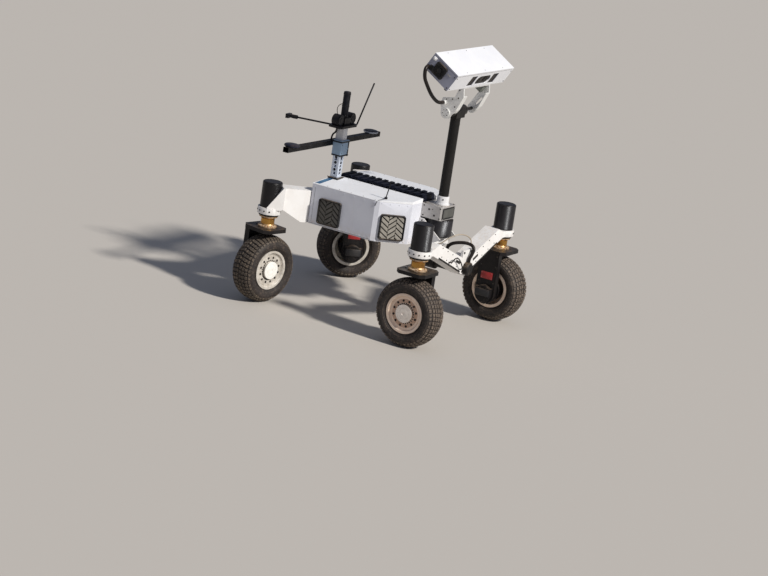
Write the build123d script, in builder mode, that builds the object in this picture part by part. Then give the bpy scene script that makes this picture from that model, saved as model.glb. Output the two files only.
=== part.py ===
from math import cos, hypot, radians, sin, tan
import os

from build123d import *

# A four wheeled planetary rover prototype, in millimetres.
# X points forward, Y to the rover's left and Z up, and the wheels stand on Z = 0.
# Everything is drawn about the rover's own middle, and moved to the middle of its box when written.

os.makedirs("parts", exist_ok=True)

seat_gap = 0.3          # between pieces that are bolted together
run_gap = 0.3           # between a turning face and its seat

# Wheels
wheel_base = 980        # front to rear steering axes
track = 930             # left to right steering axes
tyre_dia = 380
tyre_width = 150
wheel_offset = 12       # the wheel's middle plane, outboard of its steering axis
rim_seat_dia = 203
rim_width = 128
rim_wall = 7
rim_flange_height = 9
disc_inset = 12         # wheel disc behind the rim's outer edge
disc_thick = 9
hub_cap_dia = 92
hub_cap_height = 15
boss_length = 26        # the disc's inner boss, which the drive's shaft turns
tread_half = 56         # from the tread's middle line to its shoulder
tread_drop = 13         # the tread's middle above its shoulder
lug_count = 24          # in each row
lug_height = 6
lug_gap = 12            # between lugs, around the tyre
lug_inner = 8           # from the tread's middle line to the gaps
lug_slant = 11          # a gap's outer end ahead of its inner end

# Steering column, from the top of the fork upwards
fork_base = 404
fork_thick = 20
fork_side = 178
spool_height = 67
spool_flange_dia = 106
spool_waist_dia = 76
bearing_height = 11
bearing_dia = 112
clamp_height = 36
clamp_dia = 130
cap_height = 144
cap_dia = 111

# Drive leg, on the inner side of each wheel
leg_gap = 7             # from the tyre's inner side
leg_thick = 35
leg_width = 122
leg_drop = 20           # the paddle's round end, centred below the axle
drive_dia = 140
motor_box_depth = 22
motor_box_width = 102
motor_box_rise = 17     # top of the motor box above the wheel's centre

# Hull
hull_base = 468
hull_height = 224
hull_half_width = 316
hull_rear = -328
hull_crease = 101       # where the front panels start to turn in
hull_front = 248
hull_nose_half_width = 183
hull_corner = 8
crease_facet = 14       # the narrow facet at the crease starts this far from it on both sides
roof_rise = 24
trough_width = 150
trough_rear = -307
vent_size = 143
vent_depth = 14
vent_rear_x = -191      # middle of the rear vents
vent_z = 555
vent_frame_width = 13

# Roof heat sinks
sink_count = 9
sink_height = 31
sink_base = 5
sink_gap = 10           # between blocks
sink_margin = 10        # from a block to the trough's wall
fin_count = 5           # in each block
fin_slot = 4

# Nose, mast foot and mast
nose_half_width = 90
nose_plate = 6
nose_tip = 400
nose_flange_z = 462
nose_flange_height = 33
mast_x = 330
gearbox_rear = 247
gearbox_front = 378
gearbox_width = 156
gearbox_base = 617
gearbox_height = 78
mast_motor_dia = 150
mast_motor_base = 521
collar_dia = 68
collar_height = 49
mast_dia = 56
tilt_z = 1226
tilt_barrel_dia = 60
tilt_barrel_left = 72   # where the barrel ends and a thin shaft goes on
tilt_shaft_dia = 18
tilt_block = 36         # the block on the mast's end, below the tilt axis

# Camera head
head_width = 630
head_depth = 184
head_height = 109
head_pitch = 31         # nose down at rest
head_arm_length = 179   # from the tilt axis to the head's floor
head_back = 94          # from the tilt axis to the head's middle, along its floor
arm_right_y = -116
arm_left_y = 170
head_arm_thick = 8
head_flange_width = 34  # folded strip on the front edge of each arm
head_flange_thick = 5
head_plate = 8          # the plate under the head's floor that joins the arms
window_depth = 8
window_height = 72
window_drop = 6         # windows below the front face's middle line
lens_height = 60
fan_side = 74
fan_back = 10           # the fan behind the middle of the head's side
fan_proud = 12
head_cable_dia = 20

# Front beam, which rolls on a tube under the nose
beam_width = 90
beam_flat = 112         # level stretch inboard of each steering axis
beam_centre_top = 425
beam_centre_base = 335
beam_shoulder_top = 560
pivot_z = 380
pivot_dia = 74
pivot_rear = 262
pivot_front = 565
pivot_cap = 14
beam_plate_width = 104  # upright plate at the beam's middle
beam_plate_top = 486
beam_plate_base = 352
beam_plate_thick = 14
hose_dia = 19

# Rear arms, each along the line from a rear corner of the hull to its steering axis
arm_root_top = 650
arm_root_width = 104
arm_short = 60          # end of the arm's box, short of the steering axis
arm_end_half = 49
arm_end_base = 540
arm_end_top = 660
arm_level = 38          # level stretch of the arm's floor
gusset_thick = 4

# Antenna post on the roof
post_x = -298
post_y = -128
post_side = 45
post_top = 1006
post_foot_z = 709
post_wall = 4
post_hole_dia = 17
post_hole_step = 40
foot_thick = 8
foot_margin = 14
bar_z = 912
bar_right = 498
bar_left = 468
bar_height = 28
bar_depth = 34
puck_dia = 86
puck_height = 16
puck_from_end = 58
box_base = 842          # grey radio box around the post
box_height = 90
box_front = 34          # ahead of the post's middle
box_half_width = 42
radio_base = 1006
tray_thick = 14
tray_depth = 92
tray_width = 178
drum_dia = 66
drum_length = 42
drum_y = 62             # from the post's middle
tube_antenna_dia = 40
tube_antenna_top = 1205
rod_dia = 10
rod_end_dia = 22
roof_rod_dia = 6
whip_dia = 9

# The row's origin is the middle of the box, on the ground
middle_x = 6
middle_y = 9

tyre_radius = tyre_dia / 2
fork_top = fork_base + fork_thick
spool_top = fork_top + spool_height
clamp_base = spool_top + bearing_height
clamp_top = clamp_base + clamp_height
cap_top = clamp_top + cap_height
hull_top = hull_base + hull_height
roof_top = hull_top + roof_rise

# name, 1 for front or -1 for rear, 1 for left or -1 for right, steering from straight ahead at rest
corners = [
    ("front_right", 1, -1, 0),
    ("front_left", 1, 1, 0),
    ("rear_right", -1, -1, 78),
    ("rear_left", -1, 1, 43),
]


def corner_ground(fore, side, steer):
    """The ground under a steering axis: local Y points to the wheel's outer face."""
    heading = radians(90 * side + steer)
    return Plane(
        origin=(fore * wheel_base / 2, side * track / 2, 0),
        x_dir=(sin(heading), -cos(heading), 0),
        z_dir=(0, 0, 1),
    )


def upright(ground, aside=0.0):
    """A section square to the axle, seen from inboard: local X is sideways and local Y is up."""
    origin = ground.from_local_coords((0, aside, 0))
    return Plane(origin=origin, x_dir=ground.x_dir, z_dir=-ground.y_dir)


def across(ground, height=0.0, aside=0.0):
    """A section along the wheel's axle: local X is outboard and local Y is up."""
    origin = ground.from_local_coords((0, aside, height))
    return Plane(origin=origin, x_dir=ground.y_dir, z_dir=ground.x_dir)


pieces = []


def keep(name, built):
    """Name a finished piece and remember it for writing."""
    built.label = name
    pieces.append(built)


# Wheels: one moulded tyre and one turned rim at each corner
for name, fore, side, steer in corners:
    ground = corner_ground(fore, side, steer)
    section = across(ground, tyre_radius, wheel_offset)
    axle = Axis(section.origin, section.x_dir)
    half_rim = rim_width / 2
    half_tyre = tyre_width / 2
    seat_r = rim_seat_dia / 2
    flange_r = seat_r + rim_flange_height
    shoulder_r = tyre_radius - tread_drop
    bead_a = half_rim - 7
    bead_r = flange_r + 2

    with BuildPart() as tyre:
        with BuildSketch(section):
            with BuildLine():
                side_r = (bead_r + shoulder_r) / 2
                ThreePointArc((-tread_half, shoulder_r), (0, tyre_radius), (tread_half, shoulder_r))
                ThreePointArc((tread_half, shoulder_r), (half_tyre, side_r), (bead_a, bead_r))
                Polyline(
                    (bead_a, bead_r),
                    (bead_a, seat_r + seat_gap),
                    (-bead_a, seat_r + seat_gap),
                    (-bead_a, bead_r),
                )
                ThreePointArc((-bead_a, bead_r), (-half_tyre, side_r), (-tread_half, shoulder_r))
            make_face()
        revolve(axis=axle)
        lug_turn = 360 / lug_count
        fall = radians(15)
        reach = (half_tyre - lug_inner) / cos(fall)
        for row in (-1, 1):
            seats = []
            for number in range(lug_count):
                turn = radians(lug_turn * (number + (row + 1) / 4 + 0.5))
                out = section.y_dir * cos(turn) + section.z_dir * sin(turn)
                floor = section.origin + out * (tyre_radius - lug_height) + section.x_dir * (row * lug_inner)
                tilted = out * cos(fall) + section.x_dir * (row * sin(fall))
                along = section.x_dir * cos(fall) - out * (row * sin(fall))
                seats.append(Plane(origin=floor, x_dir=along, z_dir=tilted))
            with BuildSketch(*seats):
                Polygon(
                    (0, -lug_gap / 2),
                    (row * reach, lug_slant - lug_gap / 2),
                    (row * reach, lug_slant + lug_gap / 2),
                    (0, lug_gap / 2),
                    align=None,
                )
            extrude(amount=lug_height * 3, mode=Mode.SUBTRACT)
    keep(f"tyre_{name}", tyre.part)

    disc_out = half_rim - disc_inset
    disc_in = disc_out - disc_thick
    boss_radius = drive_dia / 2 - 30
    with BuildPart() as rim:
        with BuildSketch(section):
            Polygon(
                (-half_rim, seat_r - rim_wall),
                (disc_in, seat_r - rim_wall),
                (disc_in, boss_radius),
                (disc_in - boss_length, boss_radius),
                (disc_in - boss_length, 0),
                (disc_out + hub_cap_height, 0),
                (disc_out + hub_cap_height, hub_cap_dia / 2 - 5),
                (disc_out + hub_cap_height - 5, hub_cap_dia / 2),
                (disc_out, hub_cap_dia / 2),
                (disc_out, seat_r - rim_wall - 3),
                (half_rim, seat_r - 3),
                (half_rim, flange_r),
                (half_rim - 6, flange_r),
                (half_rim - 6, seat_r),
                (6 - half_rim, seat_r),
                (6 - half_rim, flange_r),
                (-half_rim, flange_r),
                align=None,
            )
        revolve(axis=axle)
    keep(f"rim_{name}", rim.part)

    # Drive leg: a plate over the tyre, a paddle down its inner side and the hub drive
    leg_outer = wheel_offset - half_tyre - leg_gap
    leg_inner = leg_outer - leg_thick
    with BuildPart() as leg:
        with BuildSketch(ground.offset(fork_base)) as plate:
            with Locations((0, (fork_side / 2 + leg_inner) / 2)):
                Rectangle(fork_side, fork_side / 2 - leg_inner)
            chamfer(plate.vertices(), 26)
        extrude(amount=fork_thick)
        with BuildSketch(upright(ground, leg_outer)):
            with Locations((0, (tyre_radius - leg_drop + fork_base) / 2)):
                Rectangle(leg_width, fork_base - tyre_radius + leg_drop)
            with Locations((0, tyre_radius - leg_drop)):
                Circle(leg_width / 2)
        extrude(amount=leg_thick)
    keep(f"drive_leg_{name}", leg.part)

    drive_in = wheel_offset + disc_in - boss_length - run_gap
    with BuildPart() as drive:
        with BuildSketch(across(ground, tyre_radius, 0)):
            Polygon(
                (leg_outer + seat_gap, 0),
                (leg_outer + seat_gap, drive_dia / 2),
                (drive_in - 34, drive_dia / 2),
                (drive_in - 26, drive_dia / 2 - 8),
                (drive_in - 26, 30),
                (drive_in, 30),
                (drive_in, 0),
                align=None,
            )
        revolve(axis=axle)
    keep(f"hub_drive_{name}", drive.part)

    with BuildPart() as motor_box:
        with BuildSketch(upright(ground, leg_inner - seat_gap)):
            with Locations((0, tyre_radius - leg_drop)):
                Circle(motor_box_width / 2)
            with Locations((0, tyre_radius + (motor_box_rise - leg_drop) / 2)):
                Rectangle(motor_box_width, motor_box_rise + leg_drop)
        extrude(amount=motor_box_depth)
        chamfer(motor_box.faces().sort_by(Axis(ground.origin, -ground.y_dir))[-1].edges(), 4)
    keep(f"drive_motor_{name}", motor_box.part)

    # Spool between the fork and the clamp
    with BuildPart() as spool:
        with BuildSketch(upright(ground)):
            flange_r = spool_flange_dia / 2
            waist_r = spool_waist_dia / 2
            Polygon(
                (0, fork_top + seat_gap),
                (flange_r, fork_top + seat_gap),
                (flange_r, fork_top + 9),
                (waist_r + 4, fork_top + 13),
                (waist_r, fork_top + 20),
                (waist_r, spool_top - 18),
                (waist_r + 4, spool_top - 12),
                (flange_r - 2, spool_top - 9),
                (flange_r - 2, spool_top - run_gap),
                (0, spool_top - run_gap),
                align=None,
            )
        revolve(axis=Axis(ground.origin, (0, 0, 1)))
    keep(f"steer_spool_{name}", spool.part)

# Steering motors under satin caps, one over each clamp, and the bearing rings below the clamps
with BuildPart() as steer_motors:
    for name, fore, side, steer in corners:
        with BuildSketch(Plane.XY.offset(clamp_top + seat_gap)):
            with Locations((fore * wheel_base / 2, side * track / 2)):
                Circle(cap_dia / 2)
        extrude(amount=cap_height - seat_gap)
    fillet(steer_motors.faces().group_by(Axis.Z)[-1].edges(), 6)
keep("steer_motors", steer_motors.part)

with BuildPart() as steer_bearings:
    for name, fore, side, steer in corners:
        with BuildSketch(Plane.XY.offset(spool_top)):
            with Locations((fore * wheel_base / 2, side * track / 2)):
                Circle(bearing_dia / 2)
        extrude(amount=bearing_height - seat_gap)
keep("steer_bearings", steer_bearings.part)

# Hull: a faceted body with straight sides and front panels that turn in
front_run_x = hull_front - hull_crease
front_run_y = hull_half_width - hull_nose_half_width
front_run = hypot(front_run_x, front_run_y)
facet_x = hull_crease + crease_facet * front_run_x / front_run
facet_y = hull_half_width - crease_facet * front_run_y / front_run
hull_plan = [
    (hull_rear, -hull_half_width),
    (hull_crease - crease_facet, -hull_half_width),
    (facet_x, -facet_y),
    (hull_front, -hull_nose_half_width),
    (hull_front, hull_nose_half_width),
    (facet_x, facet_y),
    (hull_crease - crease_facet, hull_half_width),
    (hull_rear, hull_half_width),
]


def panel_plane(side, front):
    """The outer face of a side panel or a front corner panel, at the middle of its vent."""
    if front:
        origin = ((hull_front + hull_crease) / 2, side * (hull_half_width + hull_nose_half_width) / 2, vent_z)
        normal = (front_run_y / front_run, side * front_run_x / front_run, 0)
    else:
        origin = (vent_rear_x, side * hull_half_width, vent_z)
        normal = (0, side, 0)
    along = Vector(0, 0, 1).cross(Vector(*normal))
    return Plane(origin=origin, x_dir=along, z_dir=normal)


vents = [(side, front) for side in (-1, 1) for front in (False, True)]

with BuildPart() as hull:
    with BuildSketch(Plane.XY.offset(hull_base)):
        Polygon(*hull_plan, align=None)
    extrude(amount=hull_height)
    rear_edges = hull.edges().filter_by(Axis.Z).group_by(Axis.X)[0]
    chamfer(rear_edges, hull_corner)
    for side, front in vents:
        with BuildSketch(panel_plane(side, front)):
            RectangleRounded(vent_size + 2 * seat_gap, vent_size + 2 * seat_gap, 14)
        extrude(amount=-vent_depth, mode=Mode.SUBTRACT)
keep("hull_shell", hull.part)

with BuildPart() as vent_frames:
    for side, front in vents:
        with BuildSketch(panel_plane(side, front).offset(-vent_depth + seat_gap)):
            RectangleRounded(vent_size, vent_size, 14)
            Rectangle(vent_size - 2 * vent_frame_width, vent_size - 2 * vent_frame_width, mode=Mode.SUBTRACT)
        extrude(amount=vent_depth + 3)
keep("vent_frames", vent_frames.part)

with BuildPart() as vent_filters:
    for side, front in vents:
        with BuildSketch(panel_plane(side, front).offset(-vent_depth + seat_gap)):
            opening = vent_size - 2 * vent_frame_width - 2 * seat_gap
            Rectangle(opening, opening)
        extrude(amount=vent_depth - 4)
keep("vent_filters", vent_filters.part)

# Two roof panels slope up to a trough along the middle
for name, side in (("roof_right", -1), ("roof_left", 1)):
    with BuildPart() as roof:
        with BuildSketch(Plane.YZ.offset(hull_rear)):
            Polygon(
                (side * hull_half_width, hull_top + seat_gap),
                (side * trough_width / 2, hull_top + seat_gap),
                (side * trough_width / 2, roof_top),
                (side * (trough_width / 2 + 6), roof_top),
                (side * hull_half_width, hull_top + 4),
                align=None,
            )
        extrude(amount=hull_front - hull_rear)
        with BuildSketch(Plane.XY.offset(hull_top)):
            Polygon(*hull_plan, align=None)
        extrude(amount=roof_rise, mode=Mode.INTERSECT)
    keep(name, roof.part)

# Heat sinks: finned blocks on one base down the trough
with BuildPart() as heat_sinks:
    sink_length = hull_front - trough_rear - 4
    with BuildSketch(Plane.XY.offset(hull_top + seat_gap)):
        with Locations((trough_rear + sink_length / 2, 0)):
            Rectangle(sink_length, trough_width - 2)
    extrude(amount=sink_base)
    pitch = sink_length / sink_count
    fin_pitch = (pitch - sink_gap + fin_slot) / fin_count
    with BuildSketch(Plane.XY.offset(hull_top + seat_gap + sink_base)):
        for step in range(sink_count):
            first_fin = trough_rear + pitch * step + (sink_gap + fin_pitch - fin_slot) / 2
            for fin in range(fin_count):
                with Locations((first_fin + fin * fin_pitch, 0)):
                    Rectangle(fin_pitch - fin_slot, trough_width - 2 * sink_margin)
    extrude(amount=sink_height - sink_base)
keep("heat_sinks", heat_sinks.part)

# Nose: two gusset plates and a front plate that carry the mast foot and the beam's tube
with BuildPart() as nose:
    for side in (-1, 1):
        with BuildSketch(Plane.XZ.offset(-side * nose_half_width)):
            Polygon(
                (hull_front + seat_gap, nose_flange_z),
                (nose_tip - 50, nose_flange_z),
                (nose_tip - 40, nose_flange_z + nose_flange_height),
                (nose_tip, nose_flange_z + nose_flange_height + 22),
                (gearbox_rear + 30, gearbox_base - 6),
                (hull_front + seat_gap, gearbox_base - 6),
                align=None,
            )
        extrude(amount=side * nose_plate)
    with BuildSketch(Plane.XY.offset(nose_flange_z)):
        with Locations(((hull_front + seat_gap + nose_tip - 44) / 2, 0)):
            Rectangle(nose_tip - 44 - hull_front - seat_gap, 2 * nose_half_width)
    extrude(amount=nose_plate)
    with BuildSketch(Plane.XY.offset(nose_flange_z)):
        with Locations((nose_tip - 47, 0)):
            Rectangle(nose_plate, 2 * nose_half_width)
    extrude(amount=nose_flange_height)
keep("nose_frame", nose.part)

with BuildPart() as mast_gearbox:
    with BuildSketch(Plane.XY.offset(gearbox_base)) as foot:
        with Locations(((gearbox_front + hull_front + seat_gap) / 2, 0)):
            Rectangle(gearbox_front - hull_front - seat_gap, gearbox_width)
        chamfer(foot.vertices().group_by(Axis.X)[-1], 10)
    extrude(amount=gearbox_height)
keep("mast_gearbox", mast_gearbox.part)

with BuildPart() as mast_motor:
    with BuildSketch(Plane.XY.offset(mast_motor_base)):
        with Locations((mast_x, 0)):
            Circle(mast_motor_dia / 2)
    extrude(amount=gearbox_base - seat_gap - mast_motor_base)
    chamfer(mast_motor.faces().sort_by(Axis.Z)[0].edges(), 5)
keep("mast_motor", mast_motor.part)

# Mast: a collar on the gearbox and a tube up to the tilt axis
gearbox_top = gearbox_base + gearbox_height
collar_top = gearbox_top + collar_height
with BuildPart() as mast_collar:
    with BuildSketch(Plane.XZ):
        Polygon(
            (mast_x, gearbox_top + run_gap),
            (mast_x + collar_dia / 2 + 6, gearbox_top + run_gap),
            (mast_x + collar_dia / 2 + 6, gearbox_top + 8),
            (mast_x + collar_dia / 2, gearbox_top + 8),
            (mast_x + collar_dia / 2, collar_top - 3),
            (mast_x + collar_dia / 2 - 3, collar_top),
            (mast_x, collar_top),
            align=None,
        )
    revolve(axis=Axis((mast_x, 0, 0), (0, 0, 1)))
keep("mast_collar", mast_collar.part)

with BuildPart() as mast_tube:
    with BuildSketch(Plane.XY.offset(collar_top + seat_gap)):
        with Locations((mast_x, 0)):
            Circle(mast_dia / 2)
    extrude(amount=tilt_z - tilt_block - collar_top - seat_gap)
keep("mast_tube", mast_tube.part)

# Tilt bracket: a block on the mast's end, a round barrel to its right and a thin shaft to the left arm
barrel_right = arm_right_y + head_arm_thick / 2 + run_gap
shaft_left = arm_left_y - head_arm_thick / 2 - run_gap
with BuildPart() as tilt_bracket:
    with BuildSketch(Plane.XY.offset(tilt_z - tilt_block + seat_gap)):
        with Locations((mast_x, 0)):
            Rectangle(tilt_barrel_dia, mast_dia + 2 * tilt_shaft_dia)
    extrude(amount=tilt_block)
    with BuildSketch(Plane.XZ.offset(-tilt_barrel_left)):
        with Locations((mast_x, tilt_z)):
            Circle(tilt_barrel_dia / 2)
    extrude(amount=tilt_barrel_left - barrel_right)
    with BuildSketch(Plane.XZ.offset(-shaft_left)):
        with Locations((mast_x, tilt_z)):
            Circle(tilt_shaft_dia / 2)
    extrude(amount=shaft_left)
keep("tilt_bracket", tilt_bracket.part)

# Camera head: its floor is square to the arms, which swing about the tilt axis
pitch_rad = radians(head_pitch)
head_plane = Plane(
    origin=(mast_x, 0, tilt_z),
    x_dir=(cos(pitch_rad), 0, -sin(pitch_rad)),
    z_dir=(sin(pitch_rad), 0, cos(pitch_rad)),
)
head_middle = head_arm_length + head_height / 2
# middle, width and height of each front opening, and the radius of its corners
head_openings = [
    (-96, 60, window_height, 2),
    (24, 146, lens_height, lens_height / 2 - 1),
    (141, 62, window_height, 2),
]
head_front = Plane(
    origin=head_plane.from_local_coords((head_depth / 2 - head_back, 0, head_middle - window_drop)),
    x_dir=(0, 1, 0),
    z_dir=head_plane.x_dir,
)
head_right = Plane(
    origin=head_plane.from_local_coords((-head_back - fan_back, -head_width / 2, head_middle)),
    x_dir=head_plane.x_dir,
    z_dir=(0, -1, 0),
)
with BuildPart() as head_case:
    with BuildSketch(head_plane.offset(head_arm_length)):
        with Locations((-head_back, 0)):
            Rectangle(head_depth, head_width)
    extrude(amount=head_height)
    with BuildSketch(head_front):
        for middle, width, height, corner in head_openings:
            with Locations((middle, 0)):
                RectangleRounded(width, height, corner)
    extrude(amount=-window_depth, mode=Mode.SUBTRACT)
keep("head_case", head_case.part)

with BuildPart() as head_windows:
    with BuildSketch(head_front.offset(seat_gap - window_depth)):
        for middle, width, height, corner in head_openings:
            with Locations((middle, 0)):
                RectangleRounded(width - 2 * seat_gap, height - 2 * seat_gap, corner)
    extrude(amount=window_depth / 2)
keep("head_windows", head_windows.part)

with BuildPart() as head_fan:
    with BuildSketch(head_right.offset(seat_gap)):
        RectangleRounded(fan_side, fan_side, 10)
    extrude(amount=fan_proud)
    with BuildSketch(head_right.offset(seat_gap + fan_proud)):
        Circle(fan_side / 2 - 5)
        Circle(fan_side / 5, mode=Mode.SUBTRACT)
    extrude(amount=-fan_proud * 0.6, mode=Mode.SUBTRACT)
keep("head_fan", head_fan.part)

# Arms: a plate that widens above the axis, and one strut from it to the plate under the head
plate_low = head_arm_length - seat_gap - head_plate
with BuildPart() as head_arms:
    for arm_y in (arm_right_y, arm_left_y):
        arm_face = Plane(
            origin=(mast_x, arm_y + head_arm_thick / 2, tilt_z),
            x_dir=head_plane.x_dir,
            z_dir=(0, -1, 0),
        )
        with BuildSketch(arm_face):
            if arm_y == arm_right_y:
                Circle(34)
                Polygon((-50, 7), (-69, 49), (-14, 100), (-29, plate_low + 2), (-2, plate_low + 2),
                        (26, 138), (38, 49), (30, -16), (-28, -16), align=None)
            else:
                Circle(27)
                Polygon((-27, 0), (-27, 90), (-32, plate_low + 2), (-2, plate_low + 2),
                        (26, 138), (38, 49), (27, 0), align=None)
                with Locations((8, 62)):
                    SlotOverall(56, 12, rotation=84, mode=Mode.SUBTRACT)
        extrude(amount=head_arm_thick)
        inward = head_arm_thick + head_flange_width if arm_y == arm_left_y else -head_flange_width
        with BuildSketch(arm_face):
            flange_in = 38 - head_flange_thick
            Polygon((35, 22), (38, 49), (26, 138), (26 - head_flange_thick, 138), (flange_in, 49),
                    (35 - head_flange_thick, 22), align=None)
        extrude(amount=inward)
        with BuildSketch(arm_face.offset(head_arm_thick if arm_y == arm_right_y else 0)):
            Circle(24)
        extrude(amount=8 if arm_y == arm_right_y else -head_arm_thick - 8)
    with BuildSketch(head_plane.offset(plate_low)):
        with Locations((-50, (arm_left_y + arm_right_y) / 2)):
            Rectangle(96, arm_left_y - arm_right_y + head_arm_thick)
    extrude(amount=head_plate)
    gland = Plane(
        origin=head_plane.from_local_coords((-46, arm_right_y - head_arm_thick / 2 + 0.5, 34)),
        x_dir=head_plane.x_dir,
        z_dir=(0, -1, 0),
    )
    with BuildSketch(gland):
        Circle(head_cable_dia / 2 + 4)
    extrude(amount=12.5)
keep("head_arms", head_arms.part)


def tube_along(route, thickness):
    """Straight runs of round tube between the route's points, joined by tangent arcs."""
    radii = []
    for before, point, after in zip(route, route[1:], route[2:]):
        one = Vector(*point) - Vector(*before)
        two = Vector(*after) - Vector(*point)
        turn = radians(one.get_angle(two))
        radii.append(0.45 * min(one.length, two.length) / tan(turn / 2))
    first = Vector(*route[1]) - Vector(*route[0])
    with BuildPart() as run:
        with BuildLine() as line:
            FilletPolyline(*route, radius=radii)
        with BuildSketch(Plane(origin=route[0], z_dir=first)):
            Circle(thickness / 2)
        sweep(path=line.wires()[0])
    return run.part


def cable(name, route, thickness):
    """A whole cable in a node of its own."""
    keep(name, tube_along(route, thickness))


gland_end = gland.from_local_coords((0, 0, 12.5 + seat_gap))
head_exit = head_plane.from_local_coords((-head_back - 78, -head_width / 2 - seat_gap, head_arm_length + 24))
head_cable_route = [
    tuple(head_exit),
    (head_exit.X, head_exit.Y - 30, head_exit.Z),
    (290, head_exit.Y - 32, 1430),
    (298, -318, 1386),
    (302, -274, 1338),
    (302, -222, 1302),
    (gland_end.X, gland_end.Y - 44, gland_end.Z),
    tuple(gland_end),
]
cable("head_cable", head_cable_route, head_cable_dia)

# Front beam: a wide V between the two front clamps
beam_x = wheel_base / 2
half_track = track / 2
shoulder = half_track - beam_flat
with BuildPart() as front_beam:
    with BuildSketch(Plane.YZ.offset(beam_x - beam_width / 2)):
        Polygon(
            (-half_track, clamp_base),
            (-shoulder - 40, clamp_base),
            (-shoulder + 20, clamp_base - 24),
            (0, beam_centre_base),
            (shoulder - 20, clamp_base - 24),
            (shoulder + 40, clamp_base),
            (half_track, clamp_base),
            (half_track, clamp_top),
            (half_track - 74, clamp_top),
            (shoulder - 20, beam_shoulder_top),
            (0, beam_centre_top),
            (20 - shoulder, beam_shoulder_top),
            (74 - half_track, clamp_top),
            (-half_track, clamp_top),
            align=None,
        )
    extrude(amount=beam_width)
    with BuildSketch(Plane.XY.offset(clamp_base)):
        with Locations((beam_x, -half_track), (beam_x, half_track)):
            Circle(clamp_dia / 2)
    extrude(amount=clamp_height)
    with BuildSketch(Plane.YZ.offset(beam_x + beam_width / 2 - beam_plate_thick)):
        with Locations((0, (beam_plate_top + beam_plate_base) / 2)):
            Rectangle(beam_plate_width, beam_plate_top - beam_plate_base)
    extrude(amount=beam_plate_thick)
    with BuildSketch(Plane.YZ.offset(beam_x - beam_width / 2)):
        with Locations((0, pivot_z)):
            Circle(pivot_dia / 2 + seat_gap)
    extrude(amount=beam_width, mode=Mode.SUBTRACT)
keep("front_beam", front_beam.part)

with BuildPart() as beam_pivot:
    with BuildSketch(Plane.YZ.offset(pivot_rear)):
        with Locations((0, pivot_z)):
            Circle(pivot_dia / 2)
    extrude(amount=pivot_front - pivot_rear)
    chamfer(beam_pivot.faces().sort_by(Axis.X)[-1].edges(), 6)
keep("beam_pivot", beam_pivot.part)

with BuildPart() as pivot_housing:
    with BuildSketch(Plane.YZ.offset(pivot_rear + 8)) as block:
        with Locations((0, pivot_z)):
            Circle(pivot_dia / 2 + 14)
        with Locations((0, (pivot_z + nose_flange_z) / 2)):
            Rectangle(pivot_dia + 28, nose_flange_z - pivot_z - 2 * seat_gap)
        with Locations((0, pivot_z)):
            Circle(pivot_dia / 2 + seat_gap, mode=Mode.SUBTRACT)
    extrude(amount=nose_tip - 50 - pivot_rear - 8)
keep("pivot_housing", pivot_housing.part)

# A thick hose rises from the tube behind the beam, passes over its middle and comes down on the tube's end
tube_top = pivot_z + pivot_dia / 2 + 1
hose_front = beam_x + beam_width / 2 + hose_dia / 2 + 4.5
over_beam = beam_plate_top + hose_dia / 2 + 18
cable("beam_hose", [
    (nose_tip, 0, tube_top),
    (nose_tip, -6, tube_top + 44),
    (nose_tip + 32, -14, over_beam - 14),
    (beam_x, 10, over_beam + 2),
    (hose_front - 13, 30, over_beam - 2),
    (hose_front + 7, 30, over_beam - 24),
    (hose_front + 5, 14, tube_top + 40),
    (hose_front, 0, tube_top + 19),
    (hose_front, 0, tube_top),
], hose_dia)

# Two thin cables there: a black loop on the right arm's face, and a pale one from the nose to the left arm
beam_face = beam_x + beam_width / 2 + seat_gap
cable("beam_loop", [
    (beam_face, -206, 442),
    (beam_face + 20, -206, 442),
    (beam_face + 24, -190, 466),
    (beam_face + 24, -150, 466),
    (beam_face + 24, -104, 430),
    (beam_face + 20, -68, 384),
    (beam_face, -68, 384),
], 7)
cable("beam_cable", [
    (nose_tip - 44 + seat_gap, -66, nose_flange_z + 20),
    (nose_tip - 16, -66, nose_flange_z + 22),
    (nose_tip + 24, -46, 528),
    (nose_tip + 56, 4, 554),
    (nose_tip + 72, 72, 544),
    (beam_x - 12, 134, 512),
    (beam_x - 12, 134, 481.2),
], 7)

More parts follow.
